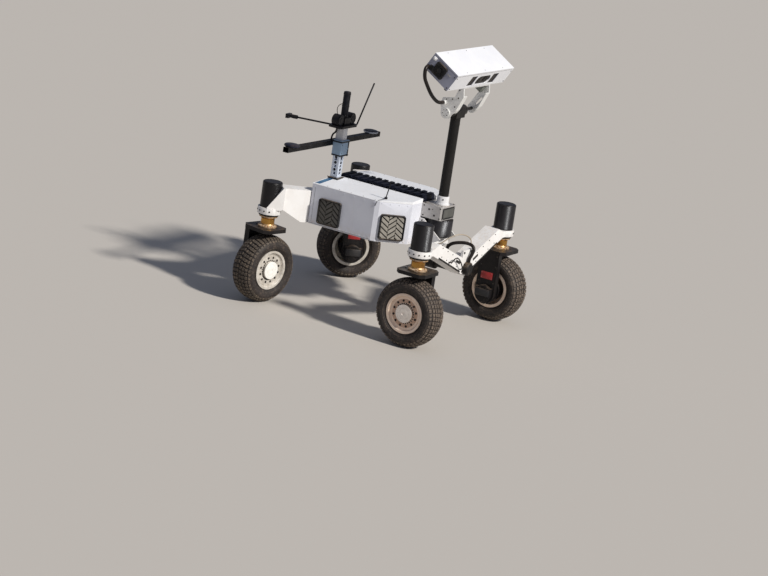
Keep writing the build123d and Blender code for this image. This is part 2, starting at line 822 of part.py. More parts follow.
# Rear arms: boxes from the hull's rear corners, with a clamp ring between two gussets
arm_run_x = wheel_base / 2 + hull_rear
arm_run_y = half_track - hull_half_width
arm_run = hypot(arm_run_x, arm_run_y)
arm_end = arm_run - arm_short
for name, side in (("rear_arm_right", -1), ("rear_arm_left", 1)):
    out = Vector(-arm_run_x / arm_run, side * arm_run_y / arm_run, 0)
    corner = Vector(hull_rear, side * hull_half_width, 0)
    arm_section = Plane(origin=corner, x_dir=out, z_dir=out.cross(Vector(0, 0, 1)))
    arm_floor = Plane(origin=corner, x_dir=out, z_dir=(0, 0, side))
    gusset_out = cap_dia / 2 + seat_gap + gusset_thick
    with BuildPart() as rear_arm:
        with BuildSketch(arm_section):
            Polygon(
                (-90, hull_base),
                (arm_level, hull_base),
                (arm_end, arm_end_base),
                (arm_end, arm_end_top),
                (0, arm_root_top),
                (-90, arm_root_top),
                align=None,
            )
        extrude(amount=2 * arm_root_width, both=True)
        with BuildSketch(arm_floor.offset(side * hull_base)):
            Polygon(
                (0, 0),
                (arm_end, -arm_end_half),
                (arm_end, arm_end_half),
                (-90, arm_root_width),
                (-90, 0),
                align=None,
            )
        extrude(amount=side * (arm_end_top - hull_base), mode=Mode.INTERSECT)
        with BuildSketch(arm_section):
            Polygon(
                (arm_end - 6, arm_end_base),
                (arm_end - 6, arm_end_top),
                (arm_end + 4, arm_end_top),
                (arm_run + 26, clamp_top + 6),
                (arm_run + 26, clamp_top - 6),
                (arm_end + 10, clamp_top - 6),
                align=None,
            )
        extrude(amount=gusset_out, both=True)
        with BuildSketch(Plane.XY.offset(clamp_base)):
            with Locations((-wheel_base / 2, side * half_track)):
                Circle(clamp_dia / 2)
        extrude(amount=clamp_height)
        with BuildSketch(Plane.XY.offset(clamp_top)):
            with Locations((-wheel_base / 2, side * half_track)):
                Circle(cap_dia / 2 + seat_gap)
        extrude(amount=cap_height, mode=Mode.SUBTRACT)
        with BuildSketch(arm_floor.offset(side * clamp_top)):
            with Locations((arm_run + cap_dia / 2, 0)):
                Rectangle(cap_dia, cap_dia + 2 * seat_gap)
        extrude(amount=side * cap_height, mode=Mode.SUBTRACT)
        with BuildSketch(Plane.XY.offset(hull_base)):
            Polygon(
                (hull_rear - seat_gap, -hull_half_width - seat_gap),
                (hull_front, -hull_half_width - seat_gap),
                (hull_front, hull_half_width + seat_gap),
                (hull_rear - seat_gap, hull_half_width + seat_gap),
                align=None,
            )
        extrude(amount=hull_height, mode=Mode.SUBTRACT)
    keep(name, rear_arm.part)

# Antenna post on a foot that follows the roof's slope
roof_slope = (roof_top - hull_top - 4) / (hull_half_width - trough_width / 2 - 6)


def roof_z(y):
    """Height of the roof panel's surface."""
    return hull_top + 4 + (hull_half_width - abs(y)) * roof_slope


half_foot = post_side / 2 + foot_margin
with BuildPart() as antenna_foot:
    with BuildSketch(Plane.YZ.offset(post_x - post_side / 2 - foot_margin / 2)):
        Polygon(
            (post_y - half_foot, roof_z(post_y - half_foot) + seat_gap),
            (post_y + half_foot, roof_z(post_y + half_foot) + seat_gap),
            (post_y + half_foot, post_foot_z + foot_thick),
            (post_y - half_foot, post_foot_z + foot_thick),
            align=None,
        )
    extrude(amount=post_side + foot_margin * 1.5)
keep("antenna_foot", antenna_foot.part)

# Post: a square tube with a row of round holes down each of its faces
post_base = post_foot_z + foot_thick + seat_gap
with BuildPart() as antenna_post:
    with BuildSketch(Plane.XY.offset(post_base)):
        with Locations((post_x, post_y)):
            Rectangle(post_side, post_side)
            Rectangle(post_side - 2 * post_wall, post_side - 2 * post_wall, mode=Mode.SUBTRACT)
    extrude(amount=post_top - post_base)
    hole_heights = [post_base + 24 + step * post_hole_step for step in range(3)]
    with BuildSketch(Plane.XZ.offset(-post_y + post_side)):
        with Locations(*[(post_x, height) for height in hole_heights]):
            Circle(post_hole_dia / 2)
    extrude(amount=-2 * post_side, mode=Mode.SUBTRACT)
    with BuildSketch(Plane.YZ.offset(post_x - post_side)):
        with Locations(*[(post_y, height) for height in hole_heights]):
            Circle(post_hole_dia / 2)
    extrude(amount=2 * post_side, mode=Mode.SUBTRACT)
keep("antenna_post", antenna_post.part)

# Radio box: it closes round the front and both sides of the post
with BuildPart() as antenna_box:
    with BuildSketch(Plane.XY.offset(box_base)):
        with Locations((post_x + (box_front - post_side / 2) / 2, post_y)):
            Rectangle(box_front + post_side / 2, 2 * box_half_width)
        with Locations((post_x, post_y)):
            Rectangle(post_side + 2 * seat_gap, post_side + 2 * seat_gap, mode=Mode.SUBTRACT)
    extrude(amount=box_height)
keep("antenna_box", antenna_box.part)

bar_x = post_x - post_side / 2 - bar_depth / 2 - seat_gap
with BuildPart() as antenna_bar:
    with BuildSketch(Plane.XY.offset(bar_z - bar_height / 2)):
        with Locations((bar_x, post_y + (bar_left - bar_right) / 2)):
            Rectangle(bar_depth, bar_left + bar_right)
    extrude(amount=bar_height)
keep("antenna_bar", antenna_bar.part)

with BuildPart() as bar_pucks:
    for reach in (puck_from_end - bar_right, bar_left - 1.4 * puck_from_end):
        with BuildSketch(Plane.XY.offset(bar_z + bar_height / 2 + seat_gap)):
            with Locations((bar_x, post_y + reach)):
                Circle(puck_dia / 2)
        extrude(amount=puck_height)
keep("bar_pucks", bar_pucks.part)

# Radio hub: a tray on the post with two round drums, and a stout tube antenna on the block between them
drum_z = radio_base + tray_thick + drum_dia / 2
with BuildPart() as radio_hub:
    with BuildSketch(Plane.XY.offset(radio_base + seat_gap)):
        with Locations((post_x, post_y)):
            RectangleRounded(tray_depth, tray_width, 20)
    extrude(amount=tray_thick)
    with BuildSketch(Plane.XY.offset(radio_base + tray_thick)):
        with Locations((post_x, post_y)):
            Rectangle(tray_depth * 0.6, drum_y)
    extrude(amount=drum_dia * 0.6)
    with BuildSketch(Plane.YZ.offset(post_x - drum_length / 2)):
        with Locations((post_y - drum_y, drum_z - 4), (post_y + drum_y, drum_z - 4)):
            Circle(drum_dia / 2)
    extrude(amount=drum_length)
    tube_base = radio_base + tray_thick + drum_dia * 0.6
    with BuildSketch(Plane.XY.offset(tube_base)):
        with Locations((post_x, post_y)):
            Circle(tube_antenna_dia / 2)
    extrude(amount=tube_antenna_top - tube_base)
    chamfer(radio_hub.faces().sort_by(Axis.Z)[-1].edges(), 3)
keep("radio_hub", radio_hub.part)

cable("hub_wire", [
    (post_x, post_y - tube_antenna_dia / 2 - seat_gap, 1140),
    (post_x, post_y - tube_antenna_dia / 2 - 50, 1140),
    (post_x, post_y - tube_antenna_dia / 2 - 72, 1110),
    (post_x, post_y - drum_y - 10, drum_z + drum_dia / 2 - 4.5),
], 4)

# A short cable drops from the hub's tray to the bar
cable("post_cable", [
    (post_x - 14, post_y - post_side / 2 - 12, radio_base),
    (post_x - 14, post_y - post_side / 2 - 12, radio_base - 30),
    (bar_x, post_y - post_side / 2 - 14, bar_z + 44),
    (bar_x, post_y - post_side / 2 - 14, bar_z + bar_height / 2 + seat_gap),
], 10)

# Thin rods: one reaches backwards from the hub, one bends up beside it, and a short one leans on the roof
tray_left = post_y + tray_width / 2 + whip_dia / 5 + seat_gap
tray_rear = post_x - tray_depth / 2 - seat_gap
rod_start = Vector(tray_rear - 1, post_y - 30, radio_base + 3)
rod_way = Vector(-284, -30, -8)
roof_rod_foot = Vector(112, -250, roof_z(-250) + seat_gap + 0.8)
roof_rod_way = Vector(18, 0, 90)
whip_rod = tube_along([
    (post_x + 6, tray_left, radio_base + 5),
    (post_x + 6, tray_left + 44, radio_base - 12),
    (post_x + 6, tray_left + 178, radio_base + 226),
], whip_dia)
with BuildPart() as radio_rods:
    with BuildSketch(Plane(origin=rod_start, z_dir=rod_way)):
        Circle(rod_dia / 2)
    extrude(amount=rod_way.length)
    with BuildSketch(Plane(origin=rod_start + rod_way * 0.78, z_dir=rod_way)):
        Circle(rod_end_dia / 2)
    extrude(amount=rod_way.length * 0.12)
    with BuildSketch(Plane(origin=rod_start + rod_way * 0.94, z_dir=rod_way)):
        Rectangle(46, 24)
    extrude(amount=18)
    add(whip_rod)
    with BuildSketch(Plane.XY.offset(roof_rod_foot.Z)):
        with Locations((roof_rod_foot.X, roof_rod_foot.Y)):
            Circle(9)
    extrude(amount=9)
    with BuildSketch(Plane(origin=roof_rod_foot + Vector(0, 0, 7), z_dir=roof_rod_way)):
        Circle(roof_rod_dia / 2)
    extrude(amount=roof_rod_way.length)
keep("radio_rods", radio_rods.part)

to_row = Location((-middle_x, middle_y, 0))
for piece in pieces:
    placed = piece.moved(to_row)
    placed.label = piece.label
    export_step(placed, f"parts/{piece.label}.step")
whole = Compound(children=pieces).bounding_box()
print(len(pieces), "pieces", whole.min, whole.max)
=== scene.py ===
import bpy
import bmesh
from math import asin, atan2, cos, pi, radians, sin
from mathutils import Matrix, Vector


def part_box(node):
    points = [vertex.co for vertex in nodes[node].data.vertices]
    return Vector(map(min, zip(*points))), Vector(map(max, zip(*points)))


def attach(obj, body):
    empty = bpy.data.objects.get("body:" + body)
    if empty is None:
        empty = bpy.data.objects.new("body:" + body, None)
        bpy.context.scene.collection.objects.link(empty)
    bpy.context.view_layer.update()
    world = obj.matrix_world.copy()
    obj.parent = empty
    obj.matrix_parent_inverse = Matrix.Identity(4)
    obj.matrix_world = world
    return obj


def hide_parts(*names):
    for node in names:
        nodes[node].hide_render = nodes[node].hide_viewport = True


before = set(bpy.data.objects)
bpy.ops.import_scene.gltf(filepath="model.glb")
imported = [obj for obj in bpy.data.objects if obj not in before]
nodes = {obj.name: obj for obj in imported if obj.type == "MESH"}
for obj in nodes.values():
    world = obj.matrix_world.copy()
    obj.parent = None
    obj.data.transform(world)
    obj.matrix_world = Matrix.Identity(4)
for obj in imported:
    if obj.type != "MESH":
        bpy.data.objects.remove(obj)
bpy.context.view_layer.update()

# HULL
# The body is folded aluminium sheet, powder coated white, screwed to a frame inside along its edges.
# Fine desert dust lies on its lower edges and in its corners.


def blank(name):
    """A new material and its node tree."""
    made = bpy.data.materials.new(name)
    made.use_nodes = True
    return made, made.node_tree


def noise(tree, scale, detail=3, rough=0.55, stretch=(1, 1, 1)):
    """Cloudy noise fixed to the piece, with a value near 0.5."""
    place = tree.nodes.new("ShaderNodeTexCoord")
    mapping = tree.nodes.new("ShaderNodeMapping")
    mapping.inputs["Scale"].default_value = stretch
    texture = tree.nodes.new("ShaderNodeTexNoise")
    texture.inputs["Scale"].default_value = scale
    texture.inputs["Detail"].default_value = detail
    texture.inputs["Roughness"].default_value = rough
    tree.links.new(place.outputs["Object"], mapping.inputs["Vector"])
    tree.links.new(mapping.outputs["Vector"], texture.inputs["Vector"])
    return texture.outputs["Fac"]


def ramp(value, low, high, start=0, end=1):
    """The value's stretch from low to high, eased into start to end."""
    tree = value.id_data
    reach = tree.nodes.new("ShaderNodeMapRange")
    reach.interpolation_type = "SMOOTHSTEP"
    reach.inputs["From Min"].default_value = low
    reach.inputs["From Max"].default_value = high
    reach.inputs["To Min"].default_value = start
    reach.inputs["To Max"].default_value = end
    tree.links.new(value, reach.inputs["Value"])
    return reach.outputs["Result"]


def feed(socket, value):
    """The socket takes a plain number, a plain colour or another node's output."""
    if isinstance(value, tuple):
        socket.default_value = (*value, 1)
    elif isinstance(value, (int, float)):
        socket.default_value = value
    else:
        socket.id_data.links.new(value, socket)


def combine(one, two, operation="MULTIPLY"):
    """Two values worked together, of which the first may be a plain number, or else the second."""
    tree = (two if isinstance(one, (int, float)) else one).id_data
    work = tree.nodes.new("ShaderNodeMath")
    work.operation = operation
    work.use_clamp = True
    feed(work.inputs[0], one)
    feed(work.inputs[1], two)
    return work.outputs["Value"]


def tint(amount, one, two):
    """One colour passing into another; either may be a plain colour."""
    mix = amount.id_data.nodes.new("ShaderNodeMix")
    mix.data_type = "RGBA"
    feed(mix.inputs["Factor"], amount)
    feed(mix.inputs[6], one)
    feed(mix.inputs[7], two)
    return mix.outputs[2]


def own_axis(tree, output, axis):
    """A surface point's place or direction along one of the piece's own axes."""
    place = tree.nodes.new("ShaderNodeTexCoord")
    split = tree.nodes.new("ShaderNodeSeparateXYZ")
    tree.links.new(place.outputs[output], split.inputs["Vector"])
    return split.outputs[axis]


def upward(tree, low=0.3, high=0.95):
    """How far the surface faces up, in the piece's own directions."""
    return ramp(own_axis(tree, "Normal", "Z"), low, high)


def below(tree, high, low):
    """One at the height low and under it, nothing at the height high and over it."""
    return ramp(own_axis(tree, "Object", "Z"), low, high, 1, 0)


def edge_wear_and_highlight(tree, width):
    """One along edges, from the difference that a rounded normal makes."""
    rounded = tree.nodes.new("ShaderNodeBevel")
    rounded.samples = 4
    rounded.inputs["Radius"].default_value = width
    plain = tree.nodes.new("ShaderNodeNewGeometry")
    dot = tree.nodes.new("ShaderNodeVectorMath")
    dot.operation = "DOT_PRODUCT"
    tree.links.new(rounded.outputs["Normal"], dot.inputs[0])
    tree.links.new(plain.outputs["Normal"], dot.inputs[1])
    return ramp(dot.outputs["Value"], 0.8, 0.995, 1, 0)


def wire(colour, rough, height, depth, metal=0, shine=0.5):
    """The shader takes its colour, its roughness and a bump, with the bump's depth in metres."""
    tree = colour.id_data
    bump = tree.nodes.new("ShaderNodeBump")
    bump.inputs["Distance"].default_value = depth
    feed(bump.inputs["Height"], height)
    sockets = tree.nodes["Principled BSDF"].inputs
    for name, value in (("Base Color", colour), ("Roughness", rough), ("Normal", bump.outputs["Normal"]),
                        ("Metallic", metal), ("Specular IOR Level", shine)):
        feed(sockets[name], value)


dust_pale = (0.6, 0.47, 0.34)
dust_dark = (0.3, 0.215, 0.145)


def coat(name, colour, shade, dust, rough=0.42, grime_below=None, chips=0):
    """Powder coat with cloudy dust on what faces up, grime towards the ground and chipped edges."""
    made, tree = blank(name)
    cloud = noise(tree, 9, 4, 0.6)
    fine = noise(tree, 60, 4, 0.65)
    base = tint(ramp(cloud, 0.3, 0.7), colour, shade)
    settled = combine(upward(tree), ramp(fine, 0.42, 0.72))
    settled = combine(settled, dust)
    base = tint(settled, base, dust_pale)
    runs = noise(tree, 26, 3, 0.6, (1, 1, 0.12))
    streak = ramp(runs, 0.52, 0.78, 0, dust * 0.4)
    base = tint(streak, base, (0.52, 0.42, 0.33))
    if grime_below is not None:
        grime = combine(below(tree, *grime_below), ramp(fine, 0.38, 0.66))
        base = tint(combine(grime, 0.35), base, dust_pale)
    if chips:
        edge = combine(edge_wear_and_highlight(tree, 0.004), ramp(noise(tree, 140, 3, 0.6), 0.5, 0.6))
        base = tint(combine(edge, chips), base, (0.23, 0.18, 0.14))
    roughness = combine(ramp(fine, 0.3, 0.7, rough - 0.06, rough + 0.12), settled, "ADD")
    wire(base, roughness, noise(tree, 900, 2, 0.5), 0.00004)
    return made


def dark_metal(name, colour, shade, dust, rough=0.36, metal=0.3, uneven=0.14, shine=0.26):
    """Dark anodised or painted metal, dusty where it faces up and streaked down its sides."""
    made, tree = blank(name)
    grain = noise(tree, 45, 4)
    cloud = noise(tree, 10, 3, 0.5, (1, 1, 0.3))
    base = tint(ramp(cloud, 0.35, 0.7), colour, shade)
    settled = combine(upward(tree, 0.1, 0.9), ramp(grain, 0.3, 0.7))
    base = tint(combine(settled, dust), base, dust_dark)
    runs = noise(tree, 130, 3, 0.7, (1, 1, 0.25))
    streak = ramp(runs, 0.58, 0.8, 0, dust * 0.8)
    base = tint(streak, base, dust_dark)
    roughness = ramp(grain, 0.3, 0.7, rough - 0.05, rough + uneven)
    wire(base, roughness, noise(tree, 1300, 2), 0.00002, metal, shine)
    return made


def dress(name, material, edge=0, segments=2):
    """A CAD node takes this material on all its slots, and small rounded edges as real metal has."""
    node = nodes[name]
    for number in range(len(node.data.materials)):
        node.data.materials[number] = material
    if edge:
        weld = node.modifiers.new("weld", "WELD")
        weld.merge_threshold = 0.00002
        bevel = node.modifiers.new("edges", "BEVEL")
        bevel.width = edge
        bevel.segments = segments
        bevel.limit_method = "ANGLE"
        bevel.angle_limit = radians(28)
        bevel.harden_normals = True


def mesh_data(name, mesh):
    """Mesh data from a bmesh, which is used up."""
    data = bpy.data.meshes.new(name)
    mesh.to_mesh(data)
    mesh.free()
    return data


def add_part(mesh, part, matrix, material=0):
    """A finished small part goes into a larger mesh at its place."""
    bmesh.ops.transform(part, matrix=matrix, verts=part.verts)
    for face in part.faces:
        face.material_index = material
    data = mesh_data("part", part)
    mesh.from_mesh(data)
    bpy.data.meshes.remove(data)


def placed(name, data):
    """A new object in the scene, with this data."""
    piece = bpy.data.objects.new(name, data)
    bpy.context.scene.collection.objects.link(piece)
    return piece


def finished(name, mesh, materials, body="chassis", sharp=35):
    """A bmesh becomes a piece with its materials, riding on a body."""
    bmesh.ops.recalc_face_normals(mesh, faces=mesh.faces)
    data = mesh_data(name, mesh)
    for material in materials:
        data.materials.append(material)
    data.shade_smooth()
    data.set_sharp_from_angle(angle=radians(sharp))
    piece = placed(name, data)
    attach(piece, body)
    return piece


def facing(place, normal, up=(0, 0, 1)):
    """A matrix whose local Z is the normal and whose local Y leans to up."""
    z = Vector(normal).normalized()
    x = Vector(up).cross(z)
    if x.length < 0.01:
        x = Vector((1, 0, 0))
    x.normalize()
    y = z.cross(x)
    turn = Matrix((x, y, z)).transposed().to_4x4()
    return Matrix.Translation(Vector(place)) @ turn


def block(mesh, matrix, size, edge, material=0, segments=1):
    """A box with broken edges, standing on local Z = 0."""
    part = bmesh.new()
    shape = Matrix.Translation((0, 0, size[2] / 2)) @ Matrix.Diagonal((*size, 1))
    bmesh.ops.create_cube(part, size=1, matrix=shape)
    bmesh.ops.bevel(part, geom=part.edges[:], offset=edge, segments=segments, profile=0.5,
                    affect="EDGES", material=-1)
    add_part(mesh, part, matrix, material)


def turned(mesh, matrix, outline, steps, material=0):
    """An outline of radii and heights, turned about local Z."""
    part = bmesh.new()
    points = [part.verts.new((radius, 0, height)) for radius, height in outline]
    edges = [part.edges.new(pair) for pair in zip(points, points[1:])]
    bmesh.ops.spin(part, geom=points + edges, cent=(0, 0, 0), axis=(0, 0, 1), angle=2 * pi,
                   steps=steps, use_merge=True)
    bmesh.ops.remove_doubles(part, verts=part.verts, dist=0.00001)
    add_part(mesh, part, matrix, material)


def screw(mesh, place, normal, radius, height, material=0):
    """A button head screw with a hexagon socket."""
    socket = radius * 0.45
    turned(mesh, facing(place, normal), [
        (radius, 0), (radius * 0.96, height * 0.5), (radius * 0.7, height),
        (socket, height), (socket, height * 0.35), (0, height * 0.35),
    ], 12, material)


def screw_grid(mesh, seat, columns, rows, radius, height, material=0):
    """Screws at every crossing of the columns and rows on a seat."""
    normal = seat.to_3x3() @ Vector((0, 0, 1))
    for x in columns:
        for y in rows:
            screw(mesh, seat @ Vector((x, y, 0)), normal, radius, height, material)


hull_low, hull_high = (Vector(corner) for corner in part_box("hull_shell"))
hull_set_back = 0.04
rover = Vector(((hull_low.x + hull_high.x) / 2 + hull_set_back, (hull_low.y + hull_high.y) / 2, 0))
hull_half_width = (hull_high.y - hull_low.y) / 2
panel_rows = (0.479, 0.683)
panel_screw = (0.0028, 0.002)
front_panel_middle = Vector((0.1745, 0.2495, 0))
front_panel_normal = Vector((0.133, 0.147, 0)).normalized()


def at(x, y, z):
    """A place measured from the rover's middle on the floor."""
    return rover + Vector((x, y, z))


# The hull's white is painted darker and bluer than the roof's: painted shade for its sides.
white_coat_painted_shade = coat("white_coat_painted_shade", (0.76, 0.775, 0.84), (0.7, 0.715, 0.785), 0.24, grime_below=(0.52, 0.47))
dress("hull_shell", white_coat_painted_shade, 0.0025, 3)

mesh = bmesh.new()
for side in (-1, 1):
    side_seat = facing(at(-0.1145, side * hull_half_width, 0), (0, side, 0))
    screw_grid(mesh, side_seat, [step * 0.0645 for step in range(-3, 4)], panel_rows, *panel_screw)
    flip = Vector((1, side, 1))
    panel_seat = facing(rover + front_panel_middle * flip, front_panel_normal * flip)
    screw_grid(mesh, panel_seat, (-0.074, -0.025, 0.025, 0.074), panel_rows, *panel_screw)
front_seat = facing(at(0.248, 0, 0), (1, 0, 0))
screw_grid(mesh, front_seat, (-0.165, -0.11, 0.11, 0.165), panel_rows, *panel_screw)
finished("hull_screws", mesh, [white_coat_painted_shade])

# Thin dark seams run along each side panel's lower and rear edges, where it meets its neighbours.
seam_black = dark_metal("seam_black", (0.03, 0.03, 0.035), (0.05, 0.05, 0.05), 0.5, 0.6, 0)
mesh = bmesh.new()
for side in (-1, 1):
    for x, z, long, tall in ((-0.112, 0.4735, 0.398, 0.0012), (-0.303, 0.58, 0.0012, 0.196)):
        seat = facing(at(x, side * hull_half_width, z), (0, side, 0))
        block(mesh, seat, (long, tall, 0.0004), 0.0001)
finished("hull_seams", mesh, [seam_black])

# VENTS
# Each vent is a black moulded frame with rounded corners, pressed into the hull over a filter.
# Over the filter's black cloth lie three columns of slats in a zigzag, dusty and pale at the front
# and darker in the side panels, where the darker copy is painted shade.

moulded = dark_metal("moulded_black", (0.016, 0.016, 0.018), (0.03, 0.029, 0.028), 0.5, 0.45, 0)
dress("vent_frames", moulded, 0.0018, 3)

cloth, tree = blank("filter_cloth")
weave = tree.nodes.new("ShaderNodeTexVoronoi")
weave.inputs["Scale"].default_value = 420
place = tree.nodes.new("ShaderNodeTexCoord")
tree.links.new(place.outputs["Object"], weave.inputs["Vector"])
threads = weave.outputs["Distance"]
base = tint(ramp(threads, 0.1, 0.7), (0.06, 0.055, 0.048), (0.016, 0.014, 0.012))
wire(base, 0.9, threads, 0.0008)

slat_paint, tree = blank("filter_slats")
cloud = noise(tree, 40, 4)
base = tint(ramp(cloud, 0.3, 0.7), (0.29, 0.27, 0.235), (0.38, 0.355, 0.31))
base = tint(ramp(noise(tree, 160, 3), 0.56, 0.75, 0, 0.6), base, (0.26, 0.22, 0.17))
wire(base, ramp(cloud, 0.3, 0.7, 0.55, 0.8), noise(tree, 500, 2), 0.0002)

opening = 0.058
slat_reach = 0.064
slat_pitch = 0.029


def raised(seat, height):
    """The seat moved out along its normal."""
    return seat @ Matrix.Translation((0, 0, height))


def slat_column(column, lean, shift):
    """One column of parallel slats, all leaning one way, cut off square at the column's sides."""
    part = bmesh.new()
    for step in range(-4, 5):
        turn = Matrix.Translation((0, step * slat_pitch + shift, 0)) @ Matrix.Rotation(lean, 4, "Z")
        bmesh.ops.create_cube(part, size=1, matrix=turn @ Matrix.Diagonal((0.07, 0.0165, 0.003, 1)))
    half = column / 2 - 0.001
    for x, y, reach in ((1, 0, half), (-1, 0, half), (0, 1, slat_reach), (0, -1, slat_reach)):
        cut = bmesh.ops.bisect_plane(
            part, geom=part.verts[:] + part.edges[:] + part.faces[:],
            plane_co=(x * reach, y * reach, 0), plane_no=(x, y, 0), clear_outer=True,
        )
        rim = [item for item in cut["geom_cut"] if isinstance(item, bmesh.types.BMEdge)]
        bmesh.ops.holes_fill(part, edges=rim)
    bmesh.ops.bevel(part, geom=part.edges[:], offset=0.0006, segments=1, profile=0.5,
                    affect="EDGES", material=-1)
    return part


def vent_lip(mesh, seat, height):
    """A rounded square ring on a vent's frame, open in the middle."""
    part = bmesh.new()
    bmesh.ops.create_cube(part, size=1, matrix=Matrix.Translation((0, 0, height / 2))
                          @ Matrix.Diagonal((0.143, 0.143, height, 1)))
    upright = [edge for edge in part.edges if abs(edge.verts[0].co.z - edge.verts[1].co.z) > height / 2]
    bmesh.ops.bevel(part, geom=upright, offset=0.014, segments=6, profile=0.5,
                    affect="EDGES", material=-1)
    top = [face for face in part.faces if face.normal.z > 0.9]
    floor_face = [face for face in part.faces if face.normal.z < -0.9]
    bmesh.ops.delete(part, geom=floor_face, context="FACES_ONLY")
    bmesh.ops.inset_individual(part, faces=top, thickness=0.0015, depth=0.0012)
    bmesh.ops.inset_individual(part, faces=top, thickness=0.004, depth=0)
    bmesh.ops.inset_individual(part, faces=top, thickness=0.0012, depth=-0.0012)
    wall = bmesh.ops.extrude_discrete_faces(part, faces=top)["faces"]
    bmesh.ops.translate(part, vec=(0, 0, 0.001 - height), verts=wall[0].verts[:])
    bmesh.ops.delete(part, geom=wall, context="FACES_ONLY")
    add_part(mesh, part, seat)


mesh = bmesh.new()
tray = bmesh.new()
column_count = 3
column = 2 * slat_reach / column_count
vent_height = 0.555
for side in (-1, 1):
    flip = Vector((1, side, 1))
    rear_middle = Vector((-0.191, hull_half_width, 0)) * flip
    for middle, normal, paint in ((rear_middle, Vector((0, side, 0)), 2),
                                  (front_panel_middle * flip, front_panel_normal * flip, 1)):
        face = facing(rover + middle + Vector((0, 0, vent_height)), normal)
        for target, size, lift, material in ((mesh, opening, -0.0045, 0), (tray, slat_reach, 0.0045, 3)):
            sheet = bmesh.new()
            bmesh.ops.create_grid(sheet, x_segments=2, y_segments=2, size=size)
            add_part(target, sheet, raised(face, lift), material)
        for number in range(column_count):
            x = column * (number - (column_count - 1) / 2)
            lean = radians(38 if number % 2 else -38)
            add_part(tray, slat_column(column, lean, 0.0145 if number == 1 else 0),
                     face @ Matrix.Translation((x, 0, 0.008)), paint)
        for way in range(4):
            turn = face @ Matrix.Rotation(way * pi / 2, 4, "Z")
            wall_seat = turn @ Matrix.Translation((0.0644, 0, 0.0032))
            block(tray, wall_seat, (0.001, 0.128, 0.007), 0.0002)
        vent_lip(tray, raised(face, 0.003), 0.0105)
vent_cloth = finished("vent_cloth", mesh, [cloth])
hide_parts("vent_filters")
# The side vents' slats are a darker copy of the front ones: painted shade.
slats_shaded = dark_metal("filter_slats_painted_shade", (0.15, 0.14, 0.125), (0.1, 0.095, 0.085), 0.3, 0.6, 0)
finished("vent_slats", tray, [moulded, slat_paint, slats_shaded, cloth])

# ROOF
# Two folded panels rise to a cooling trough, held by screws along their edges, with dust on top.
# The trough holds black anodised finned blocks on one base.

# The roof's white is painted lighter than the hull's: painted sunlight on the top.
roof_coat_painted_light = coat("roof_coat_painted_light", (0.93, 0.94, 0.97), (0.87, 0.88, 0.91), 0.13, 0.36)
for name in ("roof_right", "roof_left"):
    dress(name, roof_coat_painted_light, 0.0012)

anodised = dark_metal("anodised_fins", (0.005, 0.007, 0.016), (0.012, 0.015, 0.03), 0.08, 0.4, 0.4)
dress("heat_sinks", anodised, 0.0008, 1)

steel, tree = blank("screw_steel")
base = tint(ramp(noise(tree, 300), 0.35, 0.65), (0.3, 0.3, 0.31), (0.55, 0.54, 0.52))
rough = ramp(noise(tree, 180), 0.3, 0.7, 0.28, 0.55)
wire(base, rough, noise(tree, 900, 2), 0.00002, 1)

roof_slope = atan2(0.02, 0.235)
roof_screw_pitch = 0.078
mesh = bmesh.new()
for side in (-1, 1):
    lean = Vector((0, side * sin(roof_slope), cos(roof_slope)))
    for step in range(-4, 2):
        for y, z in ((0.305, 0.6968), (0.09, 0.715)):
            screw(mesh, at(step * roof_screw_pitch, side * y, z), lean, 0.003, 0.0016)
finished("roof_screws", mesh, [steel])

# The short rod's thin lead is stuck to the right roof panel and turns down over its edge.
mesh = bmesh.new()
right_roof_way = (0, -sin(roof_slope), cos(roof_slope))
lead_way = Vector((-0.012, -0.06, -0.0051))
lead_seat = facing(at(0.106, -0.281, 0.6988), right_roof_way, lead_way)
block(mesh, lead_seat, (0.0035, 0.062, 0.003), 0.001)
edge_seat = facing(at(0.093, -0.316, 0.679), (0, -1, 0), (0.35, 0, 1))
block(mesh, edge_seat, (0.0035, 0.03, 0.0028), 0.001)
finished("roof_lead", mesh, [anodised])

# Groups of three taller fins stand on the finned blocks, which gives their top its toothed outline.
group_pitch = 0.0425
fin_pitch = 0.0088
mesh = bmesh.new()
for group in range(13):
    for number in (-1, 0, 1):
        x = -0.286 + group * group_pitch + number * fin_pitch
        block(mesh, Matrix.Translation(at(x, 0, 0.7222)), (0.0046, 0.126, 0.01), 0.0008)
finished("tall_fins", mesh, [anodised])

# A short film of blue tape, left blank, lies along the right roof panel's rear edge.
blue_film = dark_metal("blue_film", (0.02, 0.08, 0.19), (0.1, 0.26, 0.42), 0.1, 0.25, 0)
mesh = bmesh.new()
film = facing(at(-0.304, -0.2, 0.706), right_roof_way, (1, 0, 0))
block(mesh, film, (0.2, 0.03, 0.0008), 0.0003)
finished("roof_film", mesh, [blue_film])

# REAR ARMS
# Welded white box arms reach from the hull's rear corners and clamp the steering motors at their ends.
# The clamp rings are drawn together by dark screws, and the paint there is chipped and dusty.

arm_coat = coat("arm_coat", (0.86, 0.85, 0.84), (0.79, 0.77, 0.75), 0.36, 0.45, chips=0.7)
for name in ("rear_arm_right", "rear_arm_left"):
    dress(name, arm_coat, 0.0018)

